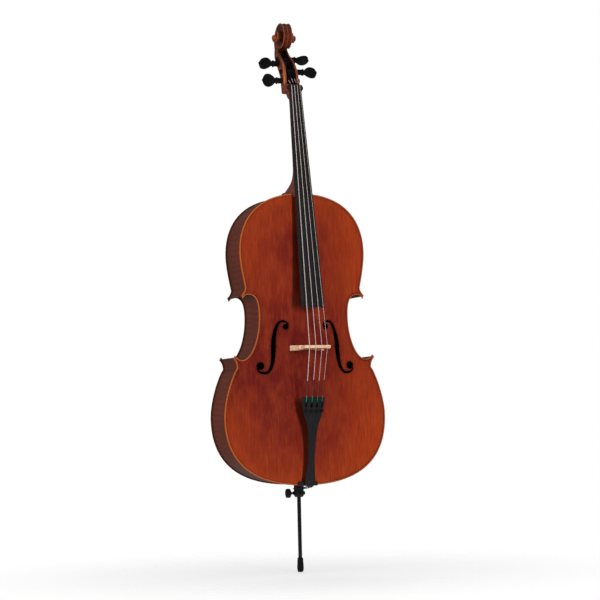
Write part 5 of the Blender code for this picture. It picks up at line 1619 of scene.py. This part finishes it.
def studio_world(scene):
    """Dim white for lighting and reflections, full white where the camera sees it."""
    dim, seen = 0.10, 1.0
    world_data = bpy.data.worlds.new("studio")
    scene.world = world_data
    world_data.use_nodes = True
    tree = world_data.node_tree
    diffuse = tree.nodes["Background"]
    fill(tree, diffuse, {"Color": (1, 1, 1, 1), "Strength": dim})
    rays = add_node(tree, "ShaderNodeLightPath").outputs
    glossy, camera = (
        add_node(tree, "ShaderNodeBackground", {"Color": (1, 1, 1, 1), "Strength": strength})
        for strength in (dim, seen))
    lit = add_node(tree, "ShaderNodeMixShader", {
        0: rays["Is Glossy Ray"], 1: diffuse.outputs[0], 2: glossy.outputs[0]})
    shown = add_node(tree, "ShaderNodeMixShader", {
        0: rays["Is Camera Ray"], 1: lit.outputs[0], 2: camera.outputs[0]})
    fill(tree, tree.nodes["World Output"], {"Surface": shown.outputs[0]})


def soft_light(scene, name, location, target, width, height, power, glossy=False):
    light = bpy.data.lights.new(name, "AREA")
    light.shape = "RECTANGLE"
    light.size, light.size_y = width, height
    light.energy = power
    ob = bpy.data.objects.new(name, light)
    scene.collection.objects.link(ob)
    ob.location = location
    aim = Vector(target) - Vector(location)
    ob.rotation_euler = aim.to_track_quat("-Z", "Y").to_euler()
    ob.visible_glossy = glossy


def lights(scene):
    soft_light(scene, "key", (0.33, -3.0, 0.75), (0, 0, 0.70), width=0.32, height=1.3, power=68)
    soft_light(scene, "side", (-2.9, -0.45, 0.9), (-0.1, 0, 0.75), width=0.7, height=1.5, power=40)
    soft_light(scene, "sheen", (-3.2, -1.9, 1.3), (0, 0, 0.8), width=0.9, height=1.6, power=4,
               glossy=True)
    soft_light(scene, "top", (0.2, -0.6, 3.6), (0, 0, 0), width=2.4, height=2.4, power=16)
    soft_light(scene, "back", (0.8, 3.2, 2.2), (0, 0, 0.8), width=2.0, height=2.0, power=75)
    soft_light(scene, "right", (2.9, 1.0, 1.1), (0.1, 0, 0.75), width=0.9, height=1.5, power=38)


def camera(scene):
    """Looks at the pivot from in front and the bass side."""
    yaw, pitch, roll = math.radians(19.13), math.radians(-2.95), math.radians(1.27)
    reach = 5.2
    pivot = Vector((0, -PIN_Y / 1000, 0.645))
    level_right = Vector((math.cos(yaw), -math.sin(yaw), 0))
    level_ahead = Vector((math.sin(yaw), math.cos(yaw), 0))
    vertical = Vector((0, 0, 1))
    ahead = level_ahead * math.cos(pitch) - vertical * math.sin(pitch)
    level_up = vertical * math.cos(pitch) + level_ahead * math.sin(pitch)
    right = level_right * math.cos(roll) - level_up * math.sin(roll)
    up = level_right * math.sin(roll) + level_up * math.cos(roll)
    data = bpy.data.cameras.new("camera")
    ob = bpy.data.objects.new("camera", data)
    scene.collection.objects.link(ob)
    columns = (right, up, -ahead, pivot - ahead * reach)
    ob.matrix_world = Matrix((*zip(*columns), (0, 0, 0, 1)))
    data.sensor_width = 36
    data.lens = 119.34
    data.shift_x = 0.00666667
    data.shift_y = 0.04033333
    scene.camera = ob


# ------------------------------------------------------------------ build
for build in (plates, purfling, ribs, corner_blocks, inside_pieces, neck, scroll, pegs,
              fingerboard, nut, saddle, bridge, tailpiece, fine_tuners, strings, endpin, tail_cord):
    build()
main_scene = bpy.context.scene
main_scene.view_settings.view_transform = "Standard"
main_scene.view_settings.look = "None"
floor()
studio_world(main_scene)
lights(main_scene)
camera(main_scene)
